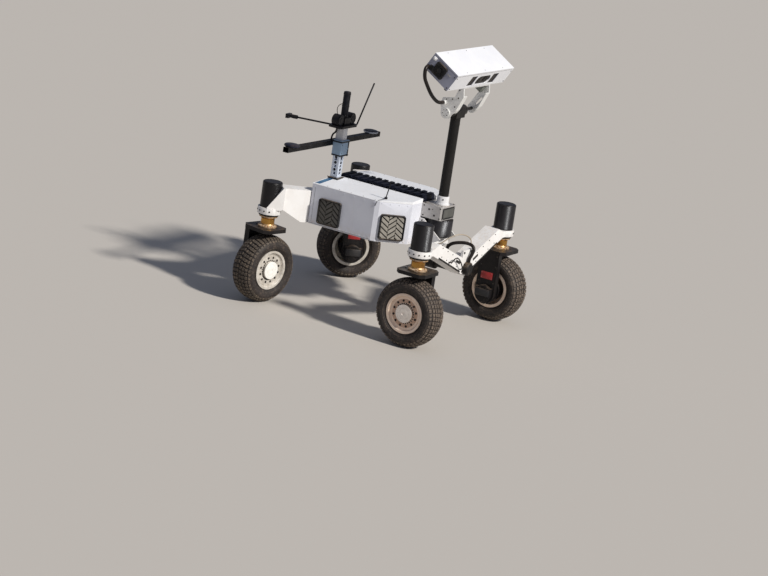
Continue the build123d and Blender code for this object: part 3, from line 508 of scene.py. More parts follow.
dark_screw = dark_metal("dark_screw", (0.025, 0.024, 0.024), (0.05, 0.045, 0.04), 0.4, 0.5, 0.6)
half_base = 0.49
half_track = 0.465
column_places = {
    f"{end}_{side}": Vector((x * half_base, y * half_track, 0))
    for end, x in (("front", 1), ("rear", -1))
    for side, y in (("right", -1), ("left", 1))
}
clamp_middle = 0.52
clamp_radius = 0.065
arm_root_half = 0.104
arm_tip_half = 0.049
arm_root_reach = 0.09
arm_tip_reach = 0.16
mesh = bmesh.new()
for corner, place in column_places.items():
    outward = Vector((place.x if corner.startswith("rear") else 0, place.y, 0)).normalized()
    start = atan2(outward.y, outward.x)
    for step in range(-3, 4):
        turn = start + radians(step * 27)
        normal = Vector((cos(turn), sin(turn), 0))
        spot = at(place.x, place.y, clamp_middle) + normal * clamp_radius
        screw(mesh, spot, normal, 0.0046, 0.0026)
for side in (-1, 1):
    arm_way = Vector((-0.162, side * 0.149, 0)).normalized()
    face = arm_way.cross(Vector((0, 0, 1))).normalized()
    for reach, z in ((0.018, 0.5), (0.018, 0.56), (0.018, 0.62), (0.12, 0.6), (0.12, 0.64)):
        along = (reach + arm_root_reach) / (arm_tip_reach + arm_root_reach)
        half = arm_root_half - (arm_root_half - arm_tip_half) * along
        spot = at(-0.328, side * 0.316, z) + arm_way * reach + face * (-side * half)
        screw(mesh, spot, face * -side, 0.0036, 0.002)
finished("clamp_screws", mesh, [dark_screw])

# NOSE
# Folded plates, coated white like the arms and screwed to the hull, carry the mast's foot.
# A dusty black housing between them holds the tube on which the front beam rolls.

dress("nose_frame", arm_coat, 0.001)
dusty_black = dark_metal("dusty_black", (0.014, 0.013, 0.013), (0.026, 0.024, 0.022), 0.45, 0.5, 0.2)
dress("pivot_housing", dusty_black, 0.0015)
dress("beam_pivot", dusty_black, 0.0012)


def hexagon(mesh, place, normal, radius, height):
    """A hexagon head on a round washer."""
    matrix = facing(place, normal)
    washer = radius * 1.45
    corner = radius * 1.1
    turned(mesh, matrix, [(washer, 0), (washer, height * 0.2), (radius, height * 0.22)], 20)
    turned(mesh, matrix, [(corner, 0), (corner, height * 0.85), (radius * 0.9, height), (0, height)], 6)


mesh = bmesh.new()
for side in (-1, 1):
    for x, z in ((0.268, 0.486), (0.312, 0.486), (0.356, 0.486), (0.268, 0.56), (0.268, 0.6)):
        screw(mesh, at(x, side * 0.09, z), (0, side, 0), 0.0042, 0.0024)
for y in (-0.062, 0, 0.062):
    hexagon(mesh, at(0.4, y, 0.479), (1, 0, 0), 0.005, 0.0035)
finished("nose_bolts", mesh, [dark_screw])

# FRONT BEAM
# A wide welded V of white box section hangs on the tube's end and carries both front clamps.
# Its face plate is bolted on, with a black strip along each lower edge, partly painted shade under that edge,
# and above it a short dark sheet, painted shade of a slot.

beam_coat = coat("beam_coat", (0.85, 0.84, 0.83), (0.78, 0.76, 0.74), 0.36, 0.42, chips=0.75)
dress("front_beam", beam_coat, 0.002)

beam_face_x = 0.535
beam_low = 0.335
beam_rise = atan2(0.478 - beam_low, 0.333)


def beam_edge(reach):
    """The height of the beam's lower edge, so far from its middle."""
    return beam_low + reach * sin(beam_rise) / cos(beam_rise)


mesh = bmesh.new()
for side in (-1, 1):
    for step in range(4):
        reach = 0.11 + step * 0.062
        for lift in (0.022, 0.072):
            spot = at(beam_face_x, side * reach, beam_edge(reach) + lift)
            screw(mesh, spot, (1, 0, 0), 0.0036, 0.002)
    ends = Matrix.Translation(at(0, side * 0.382, 0.538))
    screw_grid(mesh, ends, (0.462, 0.518), (-0.01, 0.01), 0.0036, 0.002)
for y in (-0.038, 0.038):
    for z in (0.366, 0.472):
        hexagon(mesh, at(beam_face_x, y, z), (1, 0, 0), 0.0052, 0.004)
finished("beam_screws", mesh, [dark_screw])

# Black strips along the lower edges, partly painted shade, and short dark sheets of painted slot shade.
mesh = bmesh.new()
for side in (-1, 1):
    for reach, lift, size, edge in ((0.196, 0.0055, (0.29, 0.01, 0.0012), 0.0004),
                                    (0.098, 0.052, (0.056, 0.015, 0.0008), 0.0003)):
        middle = at(beam_face_x, side * reach, beam_edge(reach) + lift)
        block(mesh, facing(middle, (1, 0, 0)) @ Matrix.Rotation(side * beam_rise, 4, "Z"), size, edge)
finished("beam_strips", mesh, [dusty_black])

# STEERING COLUMNS
# On each clamp stands a geared motor under a satin black can with a rounded top.
# Below it sit a dark bearing ring and a turned bronze spool, bolted to the fork, which steers the wheel.

satin = dark_metal("satin_black", (0.0045, 0.004, 0.005), (0.007, 0.0065, 0.0075), 0.05, 0.41, 0, 0.01, 0.32)
dress("steer_motors", satin)
dress("steer_bearings", dusty_black, 0.001)

bronze, tree = blank("bronze")
grain = noise(tree, 60, 4, 0.6, (1, 1, 6))
base = tint(ramp(noise(tree, 16), 0.3, 0.7), (0.5, 0.265, 0.062), (0.21, 0.092, 0.024))
upper_flange = combine(1, below(tree, 0.48, 0.478), "SUBTRACT")
flanges = combine(below(tree, 0.4385, 0.4365), upper_flange, "ADD")
dusty = combine(upward(tree, 0, 0.9), combine(flanges, 0.8), "MAXIMUM")
dusty = combine(dusty, ramp(noise(tree, 90, 4), 0.3, 0.6))
base = tint(combine(dusty, 0.85), base, (0.62, 0.49, 0.36))
metal = combine(0.9, combine(dusty, 0.7), "SUBTRACT")
rough = combine(ramp(grain, 0.3, 0.7, 0.2, 0.32), combine(dusty, 0.5), "ADD")
wire(base, rough, grain, 0.0001, metal)

can_top = 0.6816
can_foot = 0.5385
mesh = bmesh.new()
for place in column_places.values():
    top = Matrix.Translation(at(place.x, place.y, can_top))
    turned(mesh, top, [(0.05, 0), (0.0496, 0.0012), (0.048, 0.0014), (0.0478, 0.0004)], 64)
    foot = Matrix.Translation(at(place.x, place.y, can_foot))
    turned(mesh, foot, [(0.0563, 0), (0.0563, 0.004), (0.0557, 0.0048)], 64)
finished("motor_rims", mesh, [satin])

# FORKS AND DRIVES
# Each spool turns a black fork plate over the tyre, whose leg runs down the wheel's inner side.
# The leg holds the hub drive, with its motor's box under a grey cover, and a blank red plate.

fork_black = dark_metal("fork_black", (0.008, 0.007, 0.008), (0.015, 0.013, 0.013), 0.3, 0.4, 0.1)
plate_red, tree = blank("plate_red")
grain = noise(tree, 80, 4)
base = tint(ramp(grain, 0.35, 0.75), (0.42, 0.025, 0.03), (0.3, 0.03, 0.03))
base = tint(ramp(noise(tree, 220), 0.58, 0.72, 0, 0.6), base, dust_dark)
wire(base, ramp(grain, 0.3, 0.7, 0.3, 0.5), grain, 0.0001)


def screw_ring(mesh, seat, count, start, reach, radius, height, head=screw):
    """Screws in a ring about a seat's middle, the first one so many degrees round."""
    normal = seat.to_3x3() @ Vector((0, 0, 1))
    for step in range(count):
        turn = radians(start) + 2 * pi * step / count
        head(mesh, seat @ Vector((reach * cos(turn), reach * sin(turn), 0)), normal, radius, height)


cover_grey = dark_metal("cover_grey", (0.032, 0.032, 0.035), (0.052, 0.05, 0.05), 0.4, 0.42, 0.1)
wheel_turns = {"front_right": -90, "front_left": 90, "rear_right": -12, "rear_left": 133}
fork_top = 0.424
leg_inner = 0.105
plate_thick = 0.0016
for corner, degrees in wheel_turns.items():
    dress(f"steer_spool_{corner}", bronze, 0.001)
    for part in ("drive_leg", "hub_drive", "drive_motor"):
        dress(f"{part}_{corner}", fork_black, 0.0018)
    axis = Matrix.Translation(rover + column_places[corner]) @ Matrix.Rotation(radians(degrees), 4, "Z")
    outward = axis.to_3x3() @ Vector((1, 0, 0))
    mesh = bmesh.new()
    screw_ring(mesh, raised(axis, fork_top), 8, 22.5, 0.0625, 0.004, 0.003)
    drive_end = facing(axis @ Vector((-leg_inner - 0.022, 0, 0.17)), -outward)
    screw_ring(mesh, drive_end, 6, 0, 0.038, 0.0036, 0.0022)
    leg_face = facing(axis @ Vector((-leg_inner, 0, 0)), -outward)
    screw_grid(mesh, leg_face, (-0.046, 0.046), (0.236, 0.33, 0.392), 0.0042, 0.0026)
    finished(f"fork_screws_{corner}", mesh, [dark_screw], f"steer_{corner}")
    mesh = bmesh.new()
    seat = facing(axis @ Vector((-leg_inner, 0, 0.2745)), -outward)
    block(mesh, seat, (0.074, 0.041, plate_thick), 0.0007, 0, 2)
    screw_grid(mesh, raised(seat, plate_thick), (-0.032, 0.032), (-0.015, 0.015), 0.0018, 0.0009, 1)
    finished(f"leg_plate_{corner}", mesh, [plate_red, steel], f"steer_{corner}")
    mesh = bmesh.new()
    cover_seat = facing(axis @ Vector((-leg_inner - 0.0215, 0, 0.179)), -outward)
    block(mesh, cover_seat, (0.092, 0.044, 0.01), 0.0065, 0, 2)
    finished(f"motor_cover_{corner}", mesh, [cover_grey], f"steer_{corner}")

# RIMS
# Each wheel has a turned aluminium rim with a flat disc under dry dust, tan in front and grey behind;
# the front rims' tan is partly dust and partly painted warm light thrown up from the ground onto their shaded
# discs.
# Twelve bolts hold the disc, and a close ring of small screws runs round the paler cap over the hub.


def dusty_rim(name, colour, shade, grime, metal):
    """Bare aluminium under cloudy dust, with darker dirt gathered in patches."""
    made, tree = blank(name)
    fine = noise(tree, 120, 4, 0.6)
    base = tint(ramp(noise(tree, 22, 5, 0.65), 0.32, 0.68), colour, shade)
    base = tint(ramp(fine, 0.56, 0.74, 0, 0.7), base, (0.7, 0.66, 0.6))
    base = tint(ramp(noise(tree, 60, 4), 0.6, 0.76, 0, 0.6), base, grime)
    wire(base, ramp(fine, 0.3, 0.7, 0.4, 0.64), fine, 0.0003, metal)
    return made


# The front rims and caps are tan and pale: dust, and painted warm light from the ground.
rim_tan_painted_bounce = dusty_rim("rim_tan_painted_bounce", (0.95, 0.76, 0.61), (0.82, 0.63, 0.49), (0.36, 0.25, 0.17), 0)
rim_grey = dusty_rim("rim_grey", (0.72, 0.68, 0.62), (0.5, 0.46, 0.4), (0.2, 0.165, 0.13), 0.3)
# A darker red brown for the ring round the front rims' bolts: painted shade of the bolt holes.
rim_painted_hole_shade = dusty_rim("rim_inner", (0.66, 0.44, 0.32), (0.5, 0.32, 0.22), (0.16, 0.1, 0.07), 0.1)
cap_painted_bounce = dusty_rim("hub_cap_pale", (0.92, 0.84, 0.76), (0.8, 0.72, 0.64), (0.46, 0.4, 0.33), 0.15)
cap_white = dusty_rim("hub_cap_white", (0.94, 0.93, 0.89), (0.88, 0.86, 0.81), (0.7, 0.66, 0.58), 0.1)


def axle_of(corner):
    """The middle of a wheel, with local X along its axle, away from the leg."""
    low, high = (Vector(point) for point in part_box(f"tyre_{corner}"))
    return Matrix.Translation((low + high) / 2) @ Matrix.Rotation(radians(wheel_turns[corner]), 4, "Z")


disc_face = 0.052
cap_face = 0.067
for corner in wheel_turns:
    front = corner.startswith("front")
    rim_paint = rim_tan_painted_bounce if front else rim_grey
    dress(f"rim_{corner}", rim_paint, 0.0012)
    axle = axle_of(corner)
    face = axle @ Matrix.Rotation(radians(90), 4, "Y")
    mesh = bmesh.new()
    disc = raised(face, disc_face)
    screw_ring(mesh, disc, 26, 0, 0.0555, 0.0032, 0.0024)
    screw_ring(mesh, raised(disc, 0.0012), 12, 15, 0.0705, 0.0046, 0.0036, hexagon)
    turned(mesh, disc, [(0.051, 0), (0.0512, 0.0022), (0.0524, 0.0022), (0.0526, 0)], 72)
    finished(f"rim_bolts_{corner}", mesh, [dark_screw], f"wheel_{corner}")
    mesh = bmesh.new()
    turned(mesh, raised(face, cap_face), [
        (0.044, -0.0045), (0.0496, -0.0045), (0.05, -0.0035), (0.05, 0), (0.049, 0.0014),
        (0.033, 0.002), (0.0322, 0.0008), (0.029, 0.0008), (0.0282, 0.002),
        (0.01, 0.0024), (0.0092, 0.001), (0, 0.001),
    ], 64)
    cap = cap_painted_bounce if front else cap_white
    finished(f"hub_cover_{corner}", mesh, [cap], f"wheel_{corner}")
    mesh = bmesh.new()
    # On the front rims the inner ridge takes the painted shade of the bolt holes.
    for outer, inner, taper, height, material in ((0.079, 0.0586, 0.0004, 0.0012, 1 if front else 0),
                                                  (0.0905, 0.0878, 0.0005, 0.0016, 0)):
        turned(mesh, disc, [(outer, 0), (outer - taper, height), (inner + 0.0004, height),
                            (inner, 0)], 72, material)
    finished(f"rim_ridges_{corner}", mesh, [rim_paint, rim_painted_hole_shade], f"wheel_{corner}")

# TYRES
# Small balloon tyres with a round tread, in dusty black rubber.
# Rows of low blocks stand on the tread, parted by slanted gaps, and two fine ridges ring each side.


def dusty_rubber(name, colour, shade, dust, edges, earth, patches):
    """Black rubber under brown dust, which lies in patches, and lighter along the edges with dust and a
    painted highlight.
    """
    made, tree = blank(name)
    cloud = noise(tree, 14, 5, 0.65)
    fine = noise(tree, 110, 4, 0.65)
    base = tint(ramp(cloud, 0.3, 0.72), colour, shade)
    base = tint(ramp(fine, 0.46, 0.7, 0, dust), base, earth)
    wide = ramp(noise(tree, 26, 5, 0.7), 0.5, 0.66)
    spread = combine(wide, ramp(fine, 0.3, 0.62))
    base = tint(combine(spread, patches), base, earth)
    # The lighter block edges are partly dust and partly a painted highlight.
    edge = combine(edge_wear_and_highlight(tree, 0.003), ramp(fine, 0.36, 0.58))
    base = tint(combine(edge, edges), base, (0.38, 0.29, 0.21))
    wire(base, ramp(cloud, 0.3, 0.7, 0.62, 0.85), fine, 0.0006)
    return made


carcass_rubber = dusty_rubber("carcass_rubber", (0.014, 0.011, 0.01), (0.028, 0.022, 0.02), 0.26, 0.2,
                              (0.15, 0.11, 0.084), 0.4)
tread_rubber = dusty_rubber("tread_rubber", (0.054, 0.043, 0.036), (0.1, 0.078, 0.062), 0.6, 0.22,
                            (0.29, 0.222, 0.168), 0.45)
rear_rubber = dusty_rubber("rear_rubber", (0.04, 0.033, 0.028), (0.082, 0.064, 0.05), 0.6, 0.3,
                           (0.25, 0.19, 0.13), 0.7)

tyre_radius = 0.19
tread_height = 0.006
tread_half = 0.056
tread_drop = 0.013
side_middle = 0.0376
side_radius = 0.0374
side_foot = 0.1125
side_height = (tyre_radius - tread_drop + side_foot) / 2
crown = (tread_half ** 2 + tread_drop ** 2) / (2 * tread_drop)
shoulder_ground = 0.1649
lean = asin((tyre_radius - tread_drop - side_height) / side_radius)
side_steps = 10
outline = []
for step in range(side_steps + 1):
    turn = lean - 2 * lean * step / side_steps
    outline.append((side_height + side_radius * sin(turn) - tread_height * max(0, sin(turn)),
                    side_middle + side_radius * cos(turn)))
bead = (0.1022, outline[-1][1])
right_side = outline + [bead]


def tread_ground(x):
    """The radius at which the blocks stand, so far from the tread's middle line."""
    return tyre_radius - tread_height - crown + (crown ** 2 - x ** 2) ** 0.5


crown_steps = 6
tread = []
for step in range(-crown_steps + 1, crown_steps):
    x = tread_half * step / crown_steps
    tread.append((tread_ground(x), x))
left_side = [(radius, -x) for radius, x in reversed(right_side)]
carcass = left_side + tread + right_side

blocks_round = 48
pitch = 2 * pi / blocks_round
gap_lean = 0.011 / 0.067
slant = gap_lean / tyre_radius
tyre_mesh = bmesh.new()
turned(tyre_mesh, Matrix.Identity(4), carcass + carcass[:1], 96)
# Each row's middle from the tread's middle line, its width, its length around, and its tilt.
for x, width, length, tilt in ((0.011, 0.0142, 0.0165, 5), (0.029, 0.0142, 0.0165, 13),
                               (0.046, 0.014, 0.016, 22), (0.0605, 0.0125, 0.015, 46)):
    ground = tread_ground(x) if x < tread_half else shoulder_ground
    for row in (-1, 1):
        for number in range(blocks_round):
            turn = pitch * (number + (row + 1) / 8) + slant * (x - 0.008)
            seat = (Matrix.Rotation(turn, 4, "Z") @ Matrix.Translation((ground - 0.002, 0, row * x))
                    @ Matrix.Rotation(radians(90 - row * tilt), 4, "Y"))
            block(tyre_mesh, seat, (width, length, tread_height + 0.0018), 0.0009, 1)
bmesh.ops.recalc_face_normals(tyre_mesh, faces=tyre_mesh.faces)
tyre_data = mesh_data("tyre_shape", tyre_mesh)
for corner in wheel_turns:
    axle = axle_of(corner)
    mesh = bmesh.new()
    mesh.from_mesh(tyre_data)
    bmesh.ops.transform(mesh, matrix=axle @ Matrix.Rotation(radians(90), 4, "Y"), verts=mesh.verts)
    for ring, height in ((0.128, 0.0718), (0.156, 0.0732)):
        for sign in (-1, 1):
            foot = height - 0.002
            ridge = [(ring - 0.0012, foot), (ring, height + 0.0008), (ring + 0.0012, foot)]
            turned(mesh, axle @ Matrix.Rotation(radians(sign * 90), 4, "Y"), ridge, 72)
    tread_paint = tread_rubber if corner.startswith("front") else rear_rubber
    piece = finished(f"tyre_tread_{corner}", mesh, [carcass_rubber, tread_paint],
                     f"wheel_{corner}", 30)
    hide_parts(f"tyre_{corner}")
bpy.data.meshes.remove(tyre_data)

# MAST FOOT
# The mast turns on a geared head, a milled grey case with a framed plate on its front.
# Its motor hangs below in a satin black can.

milled, tree = blank("milled_grey")
grain = noise(tree, 30, 4, 0.6, (1, 1, 8))
base = tint(ramp(grain, 0.3, 0.7), (0.47, 0.455, 0.445), (0.57, 0.55, 0.53))
dusty = combine(upward(tree), ramp(noise(tree, 90), 0.4, 0.7))
base = tint(combine(dusty, 0.5), base, dust_pale)
cutter_marks = noise(tree, 700, 2, 0.5, (1, 1, 6))
wire(base, ramp(grain, 0.3, 0.7, 0.32, 0.5), cutter_marks, 0.00005, 0.45)
dress("mast_gearbox", milled, 0.0018)
dress("mast_motor", satin, 0.002)

panel_green = dark_metal("panel_green", (0.088, 0.089, 0.082), (0.122, 0.122, 0.111), 0.15, 0.4, 0.1)
frame_thick = 0.003
mesh = bmesh.new()
front = facing(at(0.378, -0.006, 0.656), (1, 0, 0))
block(mesh, front, (0.128, 0.064, frame_thick), 0.0012, 0, 2)
frame_top = raised(front, frame_thick)
block(mesh, frame_top, (0.112, 0.048, 0.0006), 0.0002, 1)
screw_grid(mesh, frame_top, (-0.059, 0.059), (-0.027, 0.027), 0.0022, 0.001, 2)
finished("gearbox_panel", mesh, [moulded, panel_green, steel])

mesh = bmesh.new()
for side in (-1, 1):
    for x, z, radius in ((0.262, 0.684, 0.0042), (0.366, 0.684, 0.0042), (0.262, 0.628, 0.0042),
                         (0.366, 0.628, 0.0042), (0.296, 0.668, 0.006), (0.332, 0.64, 0.006),
                         (0.318, 0.672, 0.003)):
        place = at(x, side * 0.078, z)
        turned(mesh, facing(place, (0, side, 0)), [(radius, 0), (radius, 0.0006), (0, 0.0005)], 16)
gearbox_top = Matrix.Translation(at(0, 0, 0.695))
screw_grid(mesh, gearbox_top, (0.262, 0.366), (-0.066, 0.066), 0.0046, 0.003)
finished("gearbox_screws", mesh, [dark_screw])

# MAST
# A tube of black anodised aluminium stands in a pale split collar, which screws draw together.
# It ends in the tilt axis's bracket. Thin black bands ring it above the collar and below the bracket.

mast_x = 0.33
collar_pale = coat("collar_pale", (0.78, 0.78, 0.79), (0.68, 0.68, 0.69), 0.25, 0.35)
dress("mast_collar", collar_pale, 0.001)
tube_black = dark_metal("tube_black", (0.0065, 0.006, 0.0055), (0.012, 0.011, 0.01), 0.08, 0.42, 0)
dress("mast_tube", tube_black)
dress("tilt_bracket", tube_black, 0.001)

mesh = bmesh.new()
for turn in (-60, 60, 180):
    normal = Vector((cos(radians(turn)), sin(radians(turn)), 0))
    for z, reach, radius, height in ((0.728, 0.034, 0.004, 0.0026), (1.176, 0.0279, 0.003, 0.0016)):
        screw(mesh, at(mast_x, 0, z) + normal * reach, normal, radius, height)
finished("mast_screws", mesh, [dark_screw], "mast")
mesh = bmesh.new()
for height in (0.76, 1.15, 1.183):
    ring = Matrix.Translation(at(mast_x, 0, height))
    turned(mesh, ring, [(0.0278, 0), (0.0288, 0.0004), (0.0288, 0.0056), (0.0278, 0.006)], 64)
finished("mast_bands", mesh, [tube_black], "mast")

# CAMERA HEAD
# A crisp white painted case with a lid, dark glass windows in its front and a square fan on its side.
# Bare aluminium arms hold it, a gusseted one beside the tilt motor and a slim slotted one on the far side.

head_pitch = radians(31)
tilt_height = 1.226
head_frame = Matrix((
    (cos(head_pitch), 0, sin(head_pitch), rover.x + mast_x),
    (0, 1, 0, rover.y),
    (-sin(head_pitch), 0, cos(head_pitch), tilt_height),
    (0, 0, 0, 1),
))
head_floor = 0.179
head_top = 0.288
head_nose = -0.002
head_rear = -0.186
head_half = 0.315

bare, tree = blank("bare_aluminium")
grain = noise(tree, 45, 4, 0.6, (1, 6, 1))
base = tint(ramp(grain, 0.3, 0.7), (0.93, 0.93, 0.91), (0.83, 0.83, 0.81))
base = tint(ramp(noise(tree, 120, 3), 0.6, 0.76, 0, 0.5), base, (0.42, 0.36, 0.3))
wire(base, ramp(grain, 0.3, 0.7, 0.3, 0.48), grain, 0.00005, 0.35)

head_coat = coat("head_coat", (0.88, 0.89, 0.92), (0.84, 0.85, 0.89), 0.08, 0.36)

# The case's two end plates are painted a darker blue grey than the rest of it: painted shade, picked by the
# way the faces turn.
tree = head_coat.node_tree
colour_socket = tree.nodes["Principled BSDF"].inputs["Base Color"]
painted = colour_socket.links[0].from_socket
sideways = own_axis(tree, "Normal", "Y")
ends = ramp(combine(sideways, sideways), 0.9, 0.96)
painted_end_shade = tint(ramp(noise(tree, 12, 4), 0.3, 0.7), (0.37, 0.38, 0.47), (0.31, 0.32, 0.4))
feed(colour_socket, tint(ends, painted, painted_end_shade))
dress("head_case", head_coat, 0.003, 3)
dress("head_arms", bare, 0.001)
dress("head_fan", moulded, 0.0015)

glass, tree = blank("window_glass")
base = tint(ramp(noise(tree, 30, 3), 0.3, 0.7), (0.006, 0.004, 0.004), (0.016, 0.01, 0.008))
rough = ramp(noise(tree, 160, 4), 0.4, 0.8, 0.16, 0.36)
wire(base, rough, noise(tree, 700), 0.00002, shine=0.1)
dress("head_windows", glass)

nose_way = head_frame.to_3x3() @ Vector((1, 0, 0))
up_way = head_frame.to_3x3() @ Vector((0, 0, 1))


def on_head(x, y, z):
    """A place measured from the tilt axis, in the head's own directions."""
    return head_frame @ Vector((x, y, z))


def on_nose(y, z, proud=0):
    """A seat on the head's front face."""
    return facing(on_head(head_nose + proud, y, z), nose_way, up_way)


def on_end(x, z, proud=0, side=-1):
    """A seat on one of the head's two ends, usually the right one."""
    return facing(on_head(x, side * (head_half + proud), z), (0, side, 0), up_way)


head_middle = (head_floor + head_top) / 2
window_middle = head_middle - 0.006
mesh = bmesh.new()
for y in (-0.026, 0.052):
    seat = on_nose(y, window_middle, -0.004)
    turned(mesh, seat, [(0.0215, 0), (0.0215, 0.0016), (0.019, 0.0026), (0.017, 0.0026),
                        (0.015, 0.001), (0.011, 0.0006)], 40)
    turned(mesh, seat, [(0.011, 0.0006), (0.008, 0.0016), (0, 0.0022)], 40, 1)
for y in (-0.096, 0.141):
    seat = on_nose(y, window_middle, -0.006)
    turned(mesh, seat, [(0.013, 0), (0.013, 0.0014), (0.0105, 0.002), (0.008, 0.0008),
                        (0, 0.0012)], 32)
finished("head_lenses", mesh, [tube_black, glass], "head")

# The lid's dark joint runs round the case below its top edge. Screws hold the lid along its front and
# rear edges, and the front and the ends at their corners.
mesh = bmesh.new()
joint_height = head_top - 0.01
block(mesh, on_nose(0, joint_height), (0.612, 0.0012, 0.0003), 0.0001)
for side in (-1, 1):
    seat = on_end((head_nose + head_rear) / 2, joint_height, 0, side)
    block(mesh, seat, (0.17, 0.0012, 0.0003), 0.0001)
rear_seat = facing(on_head(head_rear, 0, joint_height), -nose_way, up_way)
block(mesh, rear_seat, (0.612, 0.0012, 0.0003), 0.0001)
finished("head_joint", mesh, [seam_black], "head")

mesh = bmesh.new()
corner_rows = (head_floor + 0.012, head_top - 0.022)
screw_grid(mesh, on_nose(0, 0), (-0.303, 0.303), corner_rows, 0.0036, 0.0018)
for side in (-1, 1):
    end_seat = on_end((head_nose + head_rear) / 2, 0, 0, side)
    screw_grid(mesh, end_seat, (-0.08, 0.08), corner_rows, 0.0036, 0.0018)
lid_top = raised(head_frame, head_top)
screw_grid(mesh, lid_top, (head_nose - 0.014, head_rear + 0.014), (-0.2, 0, 0.2), 0.0026, 0.0012)
finished("head_screws", mesh, [dark_screw], "head")

# Fan: a round grille of rings and bars over its hub, and a small bright plate, left blank, beside it.
mesh = bmesh.new()
fan_seat = on_end(-0.104, head_middle, 0.0123)
for radius in (0.013, 0.0205, 0.028):
    inner, outer = radius - 0.0009, radius + 0.0009
    turned(mesh, fan_seat, [(inner, -0.0012), (inner, 0.0006), (outer, 0.0006), (outer, -0.0012)], 40)
for step in range(4):
    turn = fan_seat @ Matrix.Rotation(radians(45 + 90 * step), 4, "Z")
    block(mesh, turn @ Matrix.Translation((0.021, 0, -0.001)), (0.026, 0.0018, 0.0012), 0.0003)
turned(mesh, fan_seat, [(0.0125, -0.002), (0.0122, 0.0008), (0, 0.001)], 32)
screw_grid(mesh, fan_seat, (-0.031, 0.031), (-0.031, 0.031), 0.0028, 0.0012)
finished("fan_grille", mesh, [moulded], "head")
mesh = bmesh.new()
block(mesh, on_end(-0.046, head_middle + 0.018), (0.026, 0.007, 0.0022), 0.0008)
finished("head_label", mesh, [steel], "head")

# A white plug and a dark socket on the right end's rear part, dark feet below the front corners,
# and a small grey box beside the far arm.
plug_length = 0.01
mesh = bmesh.new()
plug = on_end(head_rear + 0.02, head_top - 0.024)
block(mesh, plug, (0.022, 0.018, plug_length), 0.002, 0, 2)
cap = [(0.007, 0), (0.007, 0.005), (0.0055, 0.006), (0, 0.006)]
turned(mesh, raised(plug, plug_length), cap, 24)
finished("head_plug", mesh, [collar_pale], "head")
mesh = bmesh.new()
for side in (-1, 1):
    seat = facing(on_head(head_nose - 0.016, side * (head_half - 0.014), head_floor), -up_way, nose_way)
    turned(mesh, seat, [(0.0095, 0), (0.009, 0.007), (0.0075, 0.0085), (0, 0.0085)], 24)
block(mesh, on_end(-0.15, head_floor + 0.03), (0.03, 0.03, 0.006), 0.0015)
finished("head_feet", mesh, [moulded], "head")
mesh = bmesh.new()
case_grey = dark_metal("case_grey_green", (0.16, 0.175, 0.155), (0.22, 0.23, 0.2), 0.3, 0.5, 0.1)
small_box = head_frame @ Matrix.Translation((-0.03, 0.1505, 0.112))
block(mesh, small_box, (0.04, 0.026, 0.042), 0.003, 0, 2)
for x in (-0.013, 0.013):
    screw(mesh, small_box @ Vector((x, -0.013, 0.033)), (0, -1, 0), 0.0022, 0.001, 1)
finished("arm_box", mesh, [case_grey, steel], "head")

mesh = bmesh.new()
arm_outer = -0.12
for x, z in ((-0.045, 0.058), (-0.018, 0.084), (0.02, 0.06), (0.006, 0.112), (-0.016, 0.15)):
    screw(mesh, on_head(x, arm_outer, z), (0, -1, 0), 0.004, 0.0024)
barrel_end = facing(at(mast_x, -0.128, tilt_height), (0, -1, 0))
screw_ring(mesh, barrel_end, 6, 12, 0.0175, 0.0026, 0.0016)
finished("arm_screws", mesh, [dark_screw], "head")

# CABLES
# Black rubber hoses and leads hang in free loops at the head, over the beam and at the antenna post.
# Both ends of each are plugged in, and the one that crosses over the beam has a pale sheath.

sheath = dark_metal("rubber_sheath", (0.009, 0.0065, 0.006), (0.015, 0.011, 0.01), 0.1, 0.36, 0)
pale_sheath = dark_metal("pale_sheath", (0.5, 0.44, 0.36), (0.4, 0.34, 0.27), 0.4, 0.6, 0)


def lead(name, route, diameter, material=sheath,
         body="chassis"):
    """A free cable along the route of its CAD solid, in metres about the rover's middle."""
    curve = bpy.data.curves.new(name, "CURVE")
    curve.dimensions = "3D"
    curve.bevel_depth = diameter / 2
    curve.bevel_resolution = 6
    curve.resolution_u = 16
    curve.use_fill_caps = True
    spline = curve.splines.new("NURBS")
    spline.points.add(len(route) - 1)
    for point, spot in zip(spline.points, route):
        point.co = (*at(*spot), 1)
    spline.order_u = 3
    spline.use_endpoint_u = True
    curve.materials.append(material)
    piece = placed(f"{name}_lead", curve)
    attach(piece, body)
    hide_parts(name)


lead("head_cable", [
    (0.2871, -0.3153, 1.4886), (0.2871, -0.3453, 1.4886), (0.29, -0.3473, 1.43), (0.298, -0.318, 1.386),
    (0.302, -0.274, 1.338), (0.302, -0.222, 1.302), (0.3081, -0.1763, 1.2788), (0.3081, -0.1323, 1.2788),
], 0.02, body="head")
lead("beam_hose", [
    (0.4, 0, 0.418), (0.4, -0.006, 0.462), (0.432, -0.014, 0.4995), (0.49, 0.01, 0.5155),
    (0.536, 0.03, 0.5115), (0.556, 0.03, 0.4895), (0.554, 0.014, 0.458), (0.549, 0, 0.437),
    (0.549, 0, 0.418),
], 0.019)
lead("beam_loop", [
    (0.5353, -0.206, 0.442), (0.5553, -0.206, 0.442), (0.5593, -0.19, 0.466), (0.5593, -0.15, 0.466),
    (0.5593, -0.104, 0.43), (0.5553, -0.068, 0.384), (0.5353, -0.068, 0.384),
], 0.007)
lead("beam_cable", [
    (0.3563, -0.066, 0.482), (0.384, -0.066, 0.484), (0.424, -0.046, 0.528), (0.456, 0.004, 0.554),
    (0.472, 0.072, 0.544), (0.478, 0.134, 0.512), (0.478, 0.134, 0.4812),
], 0.007, pale_sheath)
lead("hub_wire", [
    (-0.298, -0.1483, 1.14), (-0.298, -0.198, 1.14), (-0.298, -0.22, 1.11), (-0.298, -0.2, 1.0815),
], 0.004)
lead("post_cable", [
    (-0.312, -0.1625, 1.006), (-0.312, -0.1625, 0.976), (-0.3378, -0.1645, 0.956), (-0.3378, -0.1645, 0.9263),
], 0.01)
